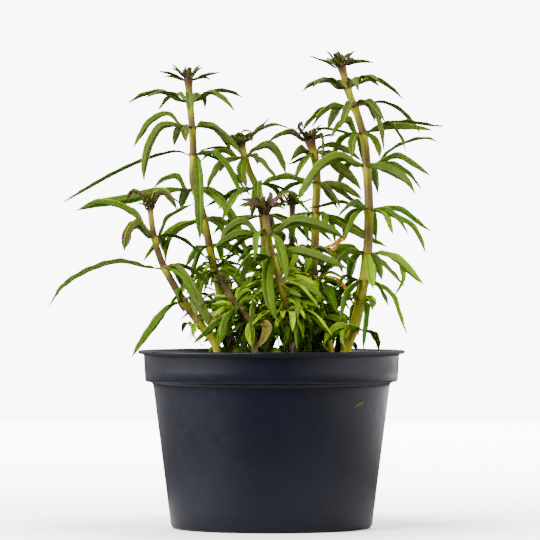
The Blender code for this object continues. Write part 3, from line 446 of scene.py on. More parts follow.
def face_out(piece):
    """Turns the faces of a closed piece outward."""
    work = bmesh.new()
    work.from_mesh(piece.data)
    bmesh.ops.recalc_face_normals(work, faces=work.faces)
    work.to_mesh(piece.data)
    work.free()


def dress(name, mesh, material, slot, *nodes):
    """A closed piece that is settled at once."""
    piece = add_piece(name, mesh, material)
    face_out(piece)
    settle(piece, slot, *nodes)


def bell(distance, width, power=2):
    """1 at no distance, and soon nothing past the width."""
    return math.exp(-(distance / width) ** power)


def square_axes(ahead):
    """Two directions that are square to this one and to each other."""
    u = (Vector((1, 0, 0)) - ahead * ahead.x).normalized()
    return u, ahead.cross(u)


def around(sides):
    """Each point of a ring and the next one."""
    return [(k, (k + 1) % sides) for k in range(sides)]


def ring_faces(first, sides):
    """The faces between the ring that starts at this point and the ring before it."""
    before = first - sides
    return [(before + k, before + n, first + n, first + k) for k, n in around(sides)]


def blend(points, share):
    """The point at this share of a smooth curve through the points."""
    spans = len(points) - 1
    at = min(max(share, 0.0), 1.0) * spans
    i = min(int(at), spans - 1)
    t = at - i
    b, c = points[i], points[i + 1]
    a = points[i - 1] if i else b * 2 - c
    d = points[i + 2] if i + 2 <= spans else c * 2 - b
    square, cube = a * 2 - b * 5 + c * 4 - d, b * 3 - a - c * 3 + d
    return 0.5 * (b * 2 + (c - a) * t + square * t ** 2 + cube * t ** 3)


def length_of(points):
    """The length of the line through the points."""
    return sum((b - a).length for a, b in zip(points, points[1:]))


# The solids, read back

def welded(node):
    """The node's points, each once, and each one's neighbours."""
    mesh = NODES[node].data
    found, points, index = {}, [], []
    for vertex in mesh.vertices:
        key = tuple(round(c, 6) for c in vertex.co)
        if key not in found:
            found[key] = len(points)
            points.append(vertex.co.copy())
        index.append(found[key])
    links = [set() for _ in points]
    for polygon in mesh.polygons:
        ring = [index[i] for i in polygon.vertices]
        for a, b in zip(ring, ring[1:] + ring[:1]):
            if a != b:
                links[a].add(b)
                links[b].add(a)
    return points, links


def match(section, before):
    """The section's three points in the order of the one before."""
    centre = sum(section, Vector()) / 3
    other = sum(before, Vector()) / 3
    orders = ((0, 1, 2), (0, 2, 1), (1, 0, 2), (1, 2, 0), (2, 0, 1), (2, 1, 0))

    def shift(order):
        return sum((section[order[k]] - centre - before[k] + other).length for k in range(3))

    return [section[k] for k in min(orders, key=shift)]


def sorted_sections(sections, tip):
    """A leaf's sections with the points of each as (left, right, keel), worked out from the widest one."""
    widths = [max((a - b).length for a in section for b in section) for section in sections]
    widest = max(range(len(sections)), key=lambda k: widths[k])
    a, b, c = sections[widest]
    pairs = [((a, b), c), ((b, c), a), ((a, c), b)]
    (left, right), keel = max(pairs, key=lambda pair: (pair[0][0] - pair[0][1]).length)
    if ((left + right) / 2 - keel).cross(left - right).dot(tip - keel) < 0:
        left, right = right, left
    sections[widest] = [left, right, keel]
    for k in range(widest + 1, len(sections)):
        sections[k] = match(sections[k], sections[k - 1])
    for k in range(widest - 1, -1, -1):
        sections[k] = match(sections[k], sections[k + 1])
    return sections


def solid_leaves(node):
    """Each leaf of a whorl's or crown's solid: its root, its sections from the root to the tip as
    (left, right, keel), and its tip."""
    points, links = welded(node)
    leaves = []
    for tip, near in enumerate(links):
        if len(near) != 3 or not all(len(links[a] & near) == 2 for a in near):
            continue
        levels, seen = [near], {tip} | near
        while True:
            following = set().union(*(links[a] for a in levels[-1])) - seen
            if len(following) != 3:
                break
            levels.append(following)
            seen |= following
        sections = [[points[i] for i in sorted(level)] for level in reversed(levels)]
        root = sum((points[i] for i in following), Vector()) / max(len(following), 1)
        leaves.append((root, sorted_sections(sections, points[tip]), points[tip]))
    return leaves


def stem_centres(node):
    """The centre line of a stem's solid, from its foot up, with the radius at each centre."""
    points, _ = welded(node)
    points.sort(key=lambda point: point.z)
    rows, row = [], [points[0]]
    for point in points[1:]:
        if point.z - row[-1].z > SOLID_RING_GAP:
            rows.append(row)
            row = []
        row.append(point)
    rows.append(row)
    centres = [sum(row, Vector()) / len(row) for row in rows]
    radii = [sum((p - c).length for p in row) / len(row) for row, c in zip(rows, centres)]
    return centres, radii


# Leaves

def sheet_faces(grid):
    """The faces of a closed sheet, from its rows of upper and lower points."""
    faces = []
    for (top_a, low_a), (top_b, low_b) in zip(grid, grid[1:]):
        for k in range(len(ACROSS) - 1):
            faces.append((top_a[k], top_a[k + 1], top_b[k + 1], top_b[k]))
            faces.append((low_a[k + 1], low_a[k], low_b[k], low_b[k + 1]))
    for (top, low), turned in ((grid[0], False), (grid[-1], True)):
        loop = top + low[-2:0:-1]
        faces.append(tuple(loop if turned else loop[::-1]))
    return faces


def blade(root, sections, tip, traits, drawn, slim=1.0):
    """One leaf blade as a closed sheet: channelled above, ribbed below and a little wavy."""
    lefts, rights, keels = ([root] + [section[k] for section in sections] + [tip] for k in range(3))
    lefts[0] = root + (lefts[1] - rights[1]) * 0.32
    rights[0] = root - (lefts[1] - rights[1]) * 0.32
    length = length_of(keels)
    fewest, most = BLADE_ROWS
    rows = max(fewest, min(most, round(length / BLADE_STEP)))
    phase, roll = drawn.uniform(0, TURN), drawn.uniform(-0.25, 0.55)
    twist = drawn.uniform(-0.55, 0.55)
    ripple = drawn.uniform(0.08, 0.26) * MM
    teeth = length / TOOTH_PITCH
    points, marks, grid = [], [], []
    for i in range(rows):
        t = i / (rows - 0.35)
        # The last rows close up on the tip.
        at = max(t, 0.5 - 0.5 * math.cos(math.pi * min(1.0, t * 1.02))) if t > 0.94 else t
        left, right, keel = blend(lefts, at), blend(rights, at), blend(keels, at)
        middle = (left + right) / 2
        side = (left - right) / 2
        half = side.length
        side = side.normalized() if half > 1e-9 else Vector((1, 0, 0))
        rise = middle - keel
        upward = rise.normalized() if rise.length > 1e-9 else UP
        turn = Matrix.Rotation(twist * t * t, 3, side.cross(upward).normalized())
        side, upward = turn @ side, turn @ upward
        tooth = TOOTH_DEPTH * math.sin(teeth * t * 2 * math.pi) * min(1, half / (1.1 * MM)) * min(1, t * 5)
        half *= slim * (0.42 + 0.58 * min(1.0, t / 0.26) ** 1.5)
        fold = max(rise.length * 0.55, half * 0.55)
        row_top, row_low = [], []
        for u in ACROSS:
            edge = abs(u)
            reach = half + (tooth if edge == 1 else 0)
            channel = -fold * (1 - edge) ** 1.2 - RIB_GROOVE * bell(u, 0.16)
            curl = -roll * half * edge ** 3 * 0.5
            swing = phase + t * length / RIPPLE_PITCH * TURN + (1.3 if u > 0 else 0)
            wave = ripple * edge ** 2 * math.sin(swing)
            top = middle + side * reach * u + upward * (channel + curl + wave)
            thick = BLADE_THICK * (1 - edge ** 4) + RIB_THICK * bell(u, 0.13) * min(1, half / (1.2 * MM))
            row_top.append(len(points))
            points.append(top)
            marks.append((t, 0.0 if edge < 1 else 0.4, edge))
            if edge < 1:
                row_low.append(len(points))
                points.append(top - upward * thick)
                marks.append((t, 1.0, edge))
            else:
                row_low.append(row_top[-1])
        grid.append((row_top, row_low))
    return points, sheet_faces(grid), marks, [traits] * len(points)


def gather(parts):
    """Several meshes as one."""
    points, faces, marks, traits = [], [], [], []
    for more_points, more_faces, more_marks, more_traits in parts:
        base = len(points)
        points += more_points
        faces += [tuple(base + i for i in face) for face in more_faces]
        marks += more_marks
        traits += more_traits
    return points, faces, marks, traits


def nearest_on(centres, point):
    """The nearest point of a stem's centre line."""
    best = None
    for a, b in zip(centres, centres[1:]):
        along = b - a
        t = max(0.0, min(1.0, (point - a).dot(along) / along.length_squared))
        spot = a + along * t
        if best is None or (spot - point).length < (best - point).length:
            best = spot
    return best


# Low growth, in metres: whorls whose middle lies under this height carry side shoots. No side shoot dips
# under the medium, or under the rim further out than the pot's inside.
LOW_GROWTH = 0.116
SHOOT_FLOOR = 0.0715
RIM_CLEAR = 0.0825
POT_INSIDE = 0.051
BUSHY = ("left_back_stem", "centre_left_stem", "front_stem", "back_stem", "right_centre_stem", "twig_stem")

# The kinds of side shoot in a whorl's angles and down at a stem's foot: longest and shortest in millimetres,
# least and most lift in radians, and how far down and up the stem they start in millimetres
SHOOTS = [(16, 12, -0.4, 0.5, -1, 1), (15, 10, -0.6, 0.7, -1, 3), (13, 8, -0.3, 0.9, 0, 5),
          (10, 6, 0.0, 1.1, 2, 7)]
FOOT_SHOOTS = [(14, 9, -0.2, 0.8, -7, -3), (13, 8, 0.0, 1.0, -12, -6), (12, 7, 0.2, 1.2, -17, -10)]
# How fresh side shoots can be, what share of that the deepest keep as painted shade near the medium, and how
# steeply the share grows upward, in metres
SHOOT_FRESH = (0.2, 0.5, 0.75, 0.9, 1.0)
SHADE_FRESH = 0.65
SHADE_REACH = 0.022

# What no side shoot covers as seen from the front, in rows and places of the photograph's grid: a run of the
# twig, a run of the front stem, and the withered leaf, which hangs a little before its row of the twig
TWIG_IN_SIGHT = (284, 325)
FRONT_IN_SIGHT = (215, 291)
WITHERED_IN_SIGHT = ((267, 324), (258, 346))
WITHERED_ROW = 326
WITHERED_BEFORE = 6 * MM


def moved_leaf(leaf, middle, axis, angle, size, lift, climb):
    """A copy of a leaf, turned about its stem, made smaller, lifted at its root and moved up the stem."""
    root, sections, tip = leaf
    round_stem = Matrix.Rotation(angle, 3, axis)
    new_root = middle + round_stem @ (root - middle) + axis * climb
    outward = round_stem @ (tip - root)
    side = axis.cross(outward).normalized()
    lifted = Matrix.Rotation(-lift, 3, side)

    def carried(point):
        return new_root + lifted @ (round_stem @ (point - root)) * size

    return new_root, [[carried(point) for point in section] for section in sections], carried(tip)


def clears_pot(leaf):
    """Whether the leaf stays over the medium and the rim."""
    spots = [leaf[2]] + [point for section in leaf[1] for point in section]
    inside = all(point.z > SHOOT_FLOOR for point in spots)
    return inside and all(point.z > RIM_CLEAR or math.hypot(point.x, point.y) < POT_INSIDE for point in spots)


def in_sight(lines):
    """Runs of stem and leaf that no side shoot covers as seen from the front: two ends and a half width."""
    twig, front = lines["twig_stem"], lines["front_stem"]
    withered = at_row(twig, WITHERED_ROW).y - WITHERED_BEFORE
    return [(*(at_row(twig, row) for row in TWIG_IN_SIGHT), 3.6 * MM),
            (*(at_row(front, row) for row in FRONT_IN_SIGHT), 3.0 * MM),
            (*(place(*spot, withered) for spot in WITHERED_IN_SIGHT), 3.6 * MM)]


def covers(leaf, kept):
    """Whether a side shoot lies before one of the runs that stay in sight."""
    spots = [leaf[2]] + [sum(section, Vector()) / 3 for section in leaf[1]]
    for low, high, half in kept:
        a, b = (low, high) if low.z < high.z else (high, low)
        for spot in spots:
            if a.z - 2 * MM < spot.z < b.z + 2 * MM:
                line = a + (b - a) * min(1.0, max(0.0, (spot.z - a.z) / (b.z - a.z)))
                if spot.y < line.y and abs(spot.x - line.x) < half:
                    return True
    return False


def side_shoots(leaves, centres, drawn, lowest):
    """The small leaves of the side shoots in a low whorl's angles, shorter than the whorl's own leaves.
    The lowest whorl of a stem has shoots down to the stem's foot as well."""
    roots = [nearest_on(centres, leaf[0]) for leaf in leaves]
    middle = sum(roots, Vector()) / len(roots)
    near = min(range(len(centres)), key=lambda i: (centres[i] - middle).length)
    axis = (centres[min(near + 1, len(centres) - 1)] - centres[max(near - 1, 0)]).normalized()
    made = []
    for leaf in leaves:
        span = (leaf[2] - leaf[0]).length
        for longest, shortest, droop, rise, down, up in SHOOTS + FOOT_SHOOTS if lowest else SHOOTS:
            size = min(0.95, drawn.uniform(shortest, longest) * MM / span)
            angle = drawn.choice((-1, 1)) * drawn.uniform(0.2, 0.8)
            lift, climb = drawn.uniform(droop, rise), drawn.uniform(down, up) * MM
            for _ in range(6):
                shoot = moved_leaf(leaf, middle, axis, angle, size, lift, climb)
                if clears_pot(shoot):
                    made.append(shoot)
                    break
                lift += 0.25
    return made


class StemLook:
    """How a stem looks. What a stem doesn't say of itself stays as it is here. Lengths are in millimetres."""

    # How far down the stem's end its bud starts, as a share of the bud's height
    bud_sink = 0.28
    # The width of its crown's blades and its own thickness, as shares of their solids'
    crown_slim = 0.80
    slim = 1.0
    # How far it goes on inside its crown, past its solid's end
    top_rise = 2.6
    # How far the dark colour of its crown reaches down it, and how much it widens there
    dark_end = 6.5
    end_swell = 0.40
    # How much of the light zone under a node is left under the crown, and how pale the last stretch is
    crown_zone = 1.0
    crown_light = 0.0

    def __init__(self, redness, low_leaf, high_leaf, bud, bud_blush, **own):
        self.redness = redness
        self.low_leaf, self.high_leaf = low_leaf, high_leaf
        self.bud, self.bud_blush = bud, bud_blush
        vars(self).update(own)


# Each stem's redness, from yellow-green to purple-brown; its lowest and its highest leaves, as freshness,
# purple blush and redness at the leaf's own foot; its bud, as radius, height, how slim its young leaves are
# and how far they spread; and how blushed the bud is
LOOKS = {
    "right_stem": StemLook(0.66, (0.65, 0.0, 0.1), (0.25, 0.68, 1.0), (1.9, 6.5, 0.8, 0.8), 0.5),
    "left_back_stem": StemLook(0.68, (0.60, 0.0, 0.0), (0.30, 0.66, 0.9), (1.8, 6.0, 0.8, 0.8), 0.5),
    "left_leaning_stem": StemLook(
        0.90, (0.55, 0.0, 0.3), (0.25, 0.80, 1.0), (1.5, 5.6, 0.6, 0.7), 0.95,
        bud_sink=0.50, crown_slim=0.60, top_rise=1.3, dark_end=3.6, end_swell=0.10, crown_light=0.55),
    "centre_left_stem": StemLook(
        0.40, (0.70, 0.05, 0.0), (0.25, 0.75, 1.0), (2.6, 5.5, 0.8, 0.5), 0.50,
        top_rise=1.3, dark_end=3.5, crown_light=0.40),
    "front_stem": StemLook(
        0.62, (0.85, 0.05, 0.0), (0.25, 0.60, 0.9), (2.4, 8.4, 0.6, 1.3), 1.0,
        bud_sink=0.50, crown_slim=0.60, slim=0.88, top_rise=1.3, dark_end=6.6, end_swell=0.10,
        crown_zone=0.30),
    "back_stem": StemLook(0.85, (0.70, 0.05, 0.0), (0.25, 0.70, 0.9), (1.6, 5.0, 0.7, 1.0), 0.9),
    "right_centre_stem": StemLook(
        0.55, (0.80, 0.05, 0.0), (0.20, 0.80, 1.0), (2.0, 4.6, 0.8, 0.7), 0.95, top_rise=1.6),
    "twig_stem": StemLook(0.8, (0.55, 0.05, 0.3), (0.30, 0.60, 0.9), (1.3, 4.0, 0.7, 0.9), 0.6),
}

# The blush keeps to the upper part of a stem: it goes with this power of the height.
BLUSH_RISE = 1.7
# The height in metres where the lowest leaves start
LEAVES_LOW = 0.075
# How long the pale last stretch under a crown is
CROWN_LIGHT_REACH = 10 * MM

# The rounds of a bud's young leaves, from the outside in: the round's place, how many leaves it has, how far
# they reach from the axis, and how high they start and how tall they are, as shares of the bud
BUD_ROUNDS = ((0, 6, 1.25, 0.0, 0.85), (1, 6, 0.85, 0.16, 0.9), (2, 5, 0.45, 0.34, 0.8))

# How broad the foot of a crown's young leaf is, as a share of its blade
CROWN_FOOT = 0.60

# The larger young leaves of the four crowns that face the camera: half width in millimetres, freshness,
# blush, and the route as across and down on the photograph's grid and millimetres behind the stem's end.
CROWN_LEAVES = {
    "left_leaning_stem": {
        "left curl": (1.0, 0.1, 0.84, (
            (149, 211, 0), (146, 201, -1), (140, 193, -1), (134, 190, -2), (129, 195, -2), (128, 201, -1))),
        "left spike": (0.6, 0.1, 0.8, ((148, 210, 0), (146, 199, 0), (143, 190, 1))),
        "right arch": (1.7, 0.6, 0.15, (
            (150, 211, 0), (153, 200, -1), (157, 192, -1), (164, 191, -2), (171, 199, -3), (177, 209, -3))),
        "right stalk": (0.7, 0.1, 0.8, ((151, 210, 0), (154, 202, 1), (158, 196, 2), (163, 193, 3))),
        "right thread": (0.5, 0.2, 0.8, ((152, 206, 0), (160, 195, 2), (170, 196, 3), (182, 204, 4))),
        "back upright": (1.0, 0.1, 0.8, ((149, 210, 1), (150, 199, 3), (152, 192, 5), (151, 190, 8))),
        "front upright": (0.9, 0.1, 0.8, ((149, 211, -1), (148, 202, -2), (149, 196, -4), (147, 194, -6))),
    },
    "centre_left_stem": {
        "top arch": (0.5, 0.3, 0.6, (
            (240, 140, 0), (241, 133, -1), (246, 130, -1), (252, 132, -2), (254, 137, -2))),
        "left curl": (1.2, 0.4, 0.8, ((239, 147, 0), (236, 140, -2), (238, 134, -3), (242, 134, -4))),
        "right fold": (1.5, 0.5, 0.4, ((243, 145, 0), (246, 138, -2), (250, 136, -3), (252, 142, -4))),
        "front fold": (1.4, 0.2, 0.7, ((242, 148, -1), (241, 142, -3), (244, 137, -4), (247, 141, -5))),
    },
    "front_stem": {
        "long left": (0.9, 0.3, 0.92, ((263, 209, 0), (257, 203, -1), (249, 200, -2), (240, 199, -2))),
        "low left": (0.9, 0.3, 0.5, ((262, 209, 0), (257, 205, -2), (252, 206, -3), (249, 211, -4))),
        "bud left": (0.9, 0.1, 0.85, ((264, 210, 0), (261, 204, -2), (263, 198, -3), (267, 197, -3))),
        "magenta tip": (1.0, 0.2, 1.0, ((266, 209, 0), (270, 205, -3), (274, 201, -4), (275, 205, -5))),
        "left stalk": (0.8, 0.2, 0.95, ((264, 213, 0), (258, 206, -2), (253, 201, -3), (247, 197, -4))),
        "far left": (0.9, 0.3, 0.7, ((263, 211, 0), (254, 204, 1), (246, 203, 1), (238, 207, 1))),
        "top left": (1.0, 0.1, 0.9, ((264, 209, 0), (262, 202, 0), (259, 197, 0), (256, 194, 1))),
        "top right": (1.0, 0.1, 0.9, ((267, 209, 0), (270, 200, 0), (271, 195, 1), (269, 191, 2))),
        "right arch": (1.0, 0.3, 0.6, (
            (268, 209, 0), (274, 200, 1), (283, 193, 1), (292, 191, 2), (299, 196, 2))),
        "funnel left": (0.9, 0.1, 0.9, ((263, 218, -1), (260, 210, -3), (256, 204, -4), (253, 201, -4))),
        "funnel right": (0.9, 0.1, 0.9, ((268, 218, -1), (270, 209, -3), (274, 204, -4), (278, 202, -4))),
        "funnel front": (0.9, 0.1, 0.8, ((266, 218, -1), (265, 210, -4), (263, 204, -5), (262, 199, -5))),
        "upper right": (0.9, 0.2, 0.94, ((267, 208, 0), (272, 202, -1), (278, 197, -1), (284, 196, -2))),
        "right stalk": (0.7, 0.5, 0.4, ((268, 210, 0), (272, 207, 0), (279, 206, 0), (285, 209, -1))),
    },
    "right_centre_stem": {
        "dark curl": (0.9, 0.1, 0.85, (
            (308, 142, 0), (303, 134, -1), (299, 127, -2), (301, 122, -3), (303, 128, -4))),
        "bud front": (1.0, 0.1, 0.86, ((309, 144, 0), (306, 139, -2), (307, 134, -3), (310, 136, -4))),
        "right thin": (0.5, 0.4, 0.5, ((310, 142, 0), (314, 134, 0), (317, 128, 0), (322, 124, 1))),
    },
}


def leaf_along(route, half, facing=(0, -0.75, 0.65), stalk=0.1, foot=0.35):
    """A leaf along a route of points, with its upper face turned to a direction. Its stalk is a share of
    the route, and the stalk's width is a share of the blade's."""
    sections = []
    count = 2 * len(route)
    for k in range(count):
        t = (k + 1) / (count + 1)
        spot = blend(route, t)
        ahead = (blend(route, min(1, t + 0.04)) - blend(route, t - 0.04)).normalized()
        side = ahead.cross(Vector(facing)).normalized()
        rise = min(1.0, max(0.0, (t - stalk) / 0.45))
        broad = half * (foot + (1 - foot) * rise ** 1.3) * (1 - max(0.0, (t - 0.62) / 0.42) ** 2)
        sections.append([spot + side * broad, spot - side * broad, spot - side.cross(ahead) * broad * 0.5])
    return route[0], sections, route[-1]


def at_row(centres, down):
    """The place on a stem's centre line at this row of the photograph's grid."""
    height = RIM_HEIGHT + (GRID_RIM - down) * GRID_STEP
    for a, b in zip(centres, centres[1:]):
        if a.z <= height <= b.z:
            return a + (b - a) * ((height - a.z) / (b.z - a.z))
    return centres[0] if height < centres[0].z else centres[-1]


def route_from(start, spots):
    """A route that starts at a point and goes by places on the photograph's grid, each so many millimetres
    behind it."""
    return [start] + [place(across, down, start.y + behind * MM) for across, down, behind in spots]


def crown_blades(stem, centres, drawn):
    """The crown's larger young leaves. Each starts inside the stem, at the row of its route's first place."""
    made = []
    for half, fresh, blush, spots in CROWN_LEAVES.get(stem, {}).values():
        leaf = leaf_along(route_from(at_row(centres, spots[0][1]), spots[1:]), half * MM, foot=CROWN_FOOT)
        made.append(blade(*leaf, (fresh, blush, 0.0), drawn))
    return made


def bud_leaflets(stem, centres, drawn):
    """Young leaves that wrap the stem's end, in three rounds, each a little higher and tighter."""
    radius, height, slim, spread = LOOKS[stem].bud
    radius, height = radius * MM, height * MM
    axis = (centres[-1] - centres[-3]).normalized()
    u, v = square_axes(axis)
    foot = centres[-1] - axis * LOOKS[stem].bud_sink * height
    made = []
    for tier, count, reach, lift, rise in BUD_ROUNDS:
        for k in range(count):
            angle = 2 * math.pi * (k + 0.5 * tier) / count + drawn.uniform(-0.25, 0.25)
            out = u * math.cos(angle) + v * math.sin(angle)
            side = axis.cross(out)
            tall = height * rise * drawn.uniform(0.7, 1.15)
            flare = drawn.uniform(0.2, 1.1) * spread
            bulged = radius * reach * (1.2 - 0.35 * spread)
            sections = []
            for t, broad in ((0.2, 0.30), (0.5, 0.50), (0.8, 0.30)):
                bulge = math.sin(math.pi * min(1, t * 0.8 + 0.12)) * bulged + flare * t * t * radius * 0.9
                spot = foot + axis * (lift * height + tall * t * (1 - 0.12 * flare * t)) + out * bulge
                half = radius * broad * slim * drawn.uniform(0.8, 1.2)
                cupped = out * half * 0.35
                left, right = spot - side * half - cupped, spot + side * half - cupped
                sections.append([left, right, spot + out * 0.25 * MM])
            tip_out = radius * (0.3 + flare * 1.4) * reach
            tip = foot + axis * (lift * height + tall * (1 - 0.25 * flare)) + out * tip_out
            made.append((foot + axis * lift * height * 0.6 + out * radius * 0.3, sections, tip))
    return made


def leaf_traits(stem, height):
    """The freshness, blush and foot redness of a leaf at this share of its stem's height, each with some
    chance in it."""
    values = []
    for a, b, power in zip(LOOKS[stem].low_leaf, LOOKS[stem].high_leaf, (1.0, BLUSH_RISE, 1.0)):
        value = a + (b - a) * height ** power
        values.append(value + seed.uniform(-1, 1) * min(0.22, 0.5 * value))
    return tuple(min(most, max(0.0, value)) for value, most in zip(values, (FULL_GREEN, 1.0, 1.0)))


def lowest_whorl(stem):
    """The name of a stem's lowest whorl."""
    whorls = [node for node in NODES if node.startswith(stem + "_whorl_")]
    return min(whorls, key=lambda node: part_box(node)[0][2])


def rooted_blade(leaf, centres, on_crown, traits, slim):
    """One blade, with its foot drawn in to the stem that carries it."""
    root, sections, tip = leaf
    axis = Vector((centres[-1].x, centres[-1].y, root.z)) if on_crown else nearest_on(centres, root)
    return blade(root + (axis - root) * 0.45, sections, tip, traits, seed, slim)


def bud_blades(stem, centres):
    """The bud in a crown, and the crown's larger young leaves."""
    made = []
    for leaf in bud_leaflets(stem, centres, seed):
        traits = (seed.uniform(0.0, 0.6), seed.uniform(0.45, 1.0) * LOOKS[stem].bud_blush, 0.0)
        made.append(rooted_blade(leaf, centres, True, traits, 1.0))
    return made + crown_blades(stem, centres, seed)


def shoot_blades(leaves, centres, lowest, kept):
    """The side shoots of a low whorl, apart from those that would cover what stays in sight."""
    made = []
    for leaf in side_shoots(leaves, centres, seed, lowest):
        if not covers(leaf, kept):
            # Painted shade: the deepest side shoots take darker greens, near the medium.
            fresh = seed.choice(SHOOT_FRESH) * min(1.0, SHADE_FRESH + (leaf[2].z - LEAVES_LOW) / SHADE_REACH)
            made.append(rooted_blade(leaf, centres, False, (fresh, 0.0, 0.0), SHOOT_SLIM))
    return made


def dress_leaves(stem, centres, kept):
    """Fine blades in place of every whorl and crown of this stem."""
    top = max(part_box(node)[1][2] for node in NODES if node.startswith(stem))
    for node in sorted(n for n in NODES if n.startswith(stem + "_")):
        on_crown = node.endswith("_crown")
        leaves = solid_leaves(node)
        middle = sum(leaf[0].z for leaf in leaves) / len(leaves)
        height = min(1.0, max(0.0, (middle - LEAVES_LOW) / (top - LEAVES_LOW)))
        slim = LOOKS[stem].crown_slim if on_crown else LEAF_SLIM
        parts = [rooted_blade(leaf, centres, on_crown, leaf_traits(stem, height), slim) for leaf in leaves]
        if on_crown:
            parts += bud_blades(stem, centres)
        elif middle < LOW_GROWTH and stem in BUSHY:
            parts += shoot_blades(leaves, centres, node == lowest_whorl(stem), kept)
        dress(node + "_blades", gather(parts), YOUNG_LEAF if on_crown else LEAF,
              "young_leaf" if on_crown else "leaf", node)


# Stems

# Rows of the photograph's grid where the twig has a dark knot
TWIG_KNOTS = (286, 299, 312)


def knot_places(centres):
    """How far up the twig's centre line each knot sits, as a share of its length."""
    total, found = length_of(centres), []
    for down in TWIG_KNOTS:
        height = at_row(centres, down).z
        run = 0.0
        for a, b in zip(centres, centres[1:]):
            if b.z > height:
                run += (b - a).length * max(0.0, (height - a.z) / (b.z - a.z))
                break
            run += (b - a).length
        found.append(run / total)
    return found


def node_places(stem, centres):
    """How far up the centre line each whorl sits, as a share of its length."""
    total = length_of(centres)
    found = []
    for node in NODES:
        if not node.startswith(stem + "_whorl_"):
            continue
        roots = [nearest_on(centres, root) for root, _, _ in solid_leaves(node)]
        middle = sum(roots, Vector()) / len(roots)
        run = 0.0
        for a, b in zip(centres, centres[1:]):
            if a.z <= middle.z <= b.z:
                run += (middle - a).length
                break
            run += (b - a).length
        found.append(run / total)
    return sorted(found)


def stem_finish(look, share, to_end, total, nodes, knots):
    """At this share of a stem's length: how much it swells, how light it is, and how dark its band is."""
    away = min((abs(share - n) * total for n in nodes), default=1.0)
    under = min((n - share for n in nodes + [1.0] if n >= share), default=1.0) * total
    from_knot = min((abs(share - knot) * total for knot in knots), default=1.0)
    dark_end = look.dark_end * MM
    swell = 1 + 0.20 * bell(under, 2.2 * MM) + 0.10 * bell(away, 1.0 * MM)
    swell += 0.28 * bell(from_knot, 1.3 * MM)
    swell += look.end_swell * bell(to_end, 0.62 * dark_end)
    # The light zone under a node is short on a red stem and long on a green one.
    light_zone = (14 - 12 * look.redness) * MM
    zone = look.crown_zone if share > max(nodes) else 1.0
    pale = max(zone * bell(under, light_zone), look.crown_light * bell(to_end, CROWN_LIGHT_REACH, 4))
    band = max(bell(away, 0.6 * MM), bell(to_end, dark_end, 4), bell(from_knot, 1.2 * MM))
    return swell, pale, min(1.0, band)


def dress_stem(stem):
    """A smooth stem with a light swelling under each node, a dark band at it, and a dark end that widens
    into the crown."""
    look = LOOKS[stem]
    is_twig = stem == "twig_stem"
    roughness = 0.16 if is_twig else 0.03
    centres, radii = stem_centres(stem)
    centres.append(centres[-1] + (centres[-1] - centres[-2]).normalized() * look.top_rise * MM)
    radii.append(radii[-1] * 0.7)
    total = length_of(centres)
    nodes = node_places(stem, centres)
    knots = knot_places(centres) if is_twig else []
    steps = round(total / STEM_STEP)
    fine = [blend(centres, i / steps) for i in range(steps + 1)]
    sizes = [blend([Vector((r, 0, 0)) for r in radii], i / steps).x for i in range(steps + 1)]
    runs = [0.0]
    for a, b in zip(fine, fine[1:]):
        runs.append(runs[-1] + (b - a).length)
    points, faces, marks = [], [], []
    for i, (centre, radius) in enumerate(zip(fine, sizes)):
        share = runs[i] / runs[-1]
        swell, pale, band = stem_finish(look, share, runs[-1] - runs[i], total, nodes, knots)
        u, v = square_axes((fine[min(i + 1, steps)] - fine[max(i - 1, 0)]).normalized())
        for k in range(STEM_SIDES):
            angle = 2 * math.pi * k / STEM_SIDES
            out = u * math.cos(angle) + v * math.sin(angle)
            bumpy = 1 + 0.035 * math.cos(4 * angle + 0.6) + roughness * noise.noise(centre * 260 + out * 2)
            points.append(centre + out * radius * look.slim * swell * bumpy)
            marks.append((pale, share, band))
        if i:
            faces += ring_faces(i * STEM_SIDES, STEM_SIDES)
    points += [fine[0], fine[-1] + (fine[-1] - fine[-2]).normalized() * sizes[-1] * 0.8]
    marks += [marks[0], marks[-1]]
    last = steps * STEM_SIDES
    for k, n in around(STEM_SIDES):
        faces.append((n, k, len(points) - 2))
        faces.append((last + k, last + n, len(points) - 1))
    traits = [(look.redness, 0.0, 0.0)] * len(points)
    piece = add_piece(stem + "_skin", (points, faces, marks, traits), TWIG if is_twig else STEM)
    settle(piece, "twig" if is_twig else "stem", stem)
    return centres


# Pot

# The pot's section as (radius, height) in millimetres, from the underside's centre round to the floor's
UNDERSIDE = [(0, 0.0), (42.6, 0.0), (44.2, 0.3), (44.9, 1.0), (45.3, 2.0)]
STEP = [(53.05, 63.4), (53.3, 64.6), (53.7, 65.3), (54.6, 65.75), (55.9, 65.9), (56.5, 66.15), (56.8, 66.7)]
COLLAR = [(57.05, 71.0), (57.35, 77.2), (57.5, 78.0), (57.9, 78.35)]
FLANGE = [(59.2, 78.4), (59.75, 78.6), (60.0, 79.1), (59.9, 79.6), (59.5, 79.92), (58.6, 80.0)]
INNER_LIP = [(57.3, 79.97), (56.6, 79.8), (56.2, 79.3)]
INNER_WALL = [(55.75, 72.0), (55.5, 67.6)]
INNER_STEP = [(55.2, 67.0), (54.0, 66.7), (52.6, 66.4), (52.1, 65.8), (52.0, 64.6)]
INNER_FLOOR = [(44.2, 3.4), (43.6, 2.2), (42.6, 1.8), (0, 1.8)]

POT_SIDES = 144
POT_ROW = 7 * MM
DRAIN_HOLES = 8
DRAIN_RING = 33 * MM
DRAIN_R = 3.5 * MM


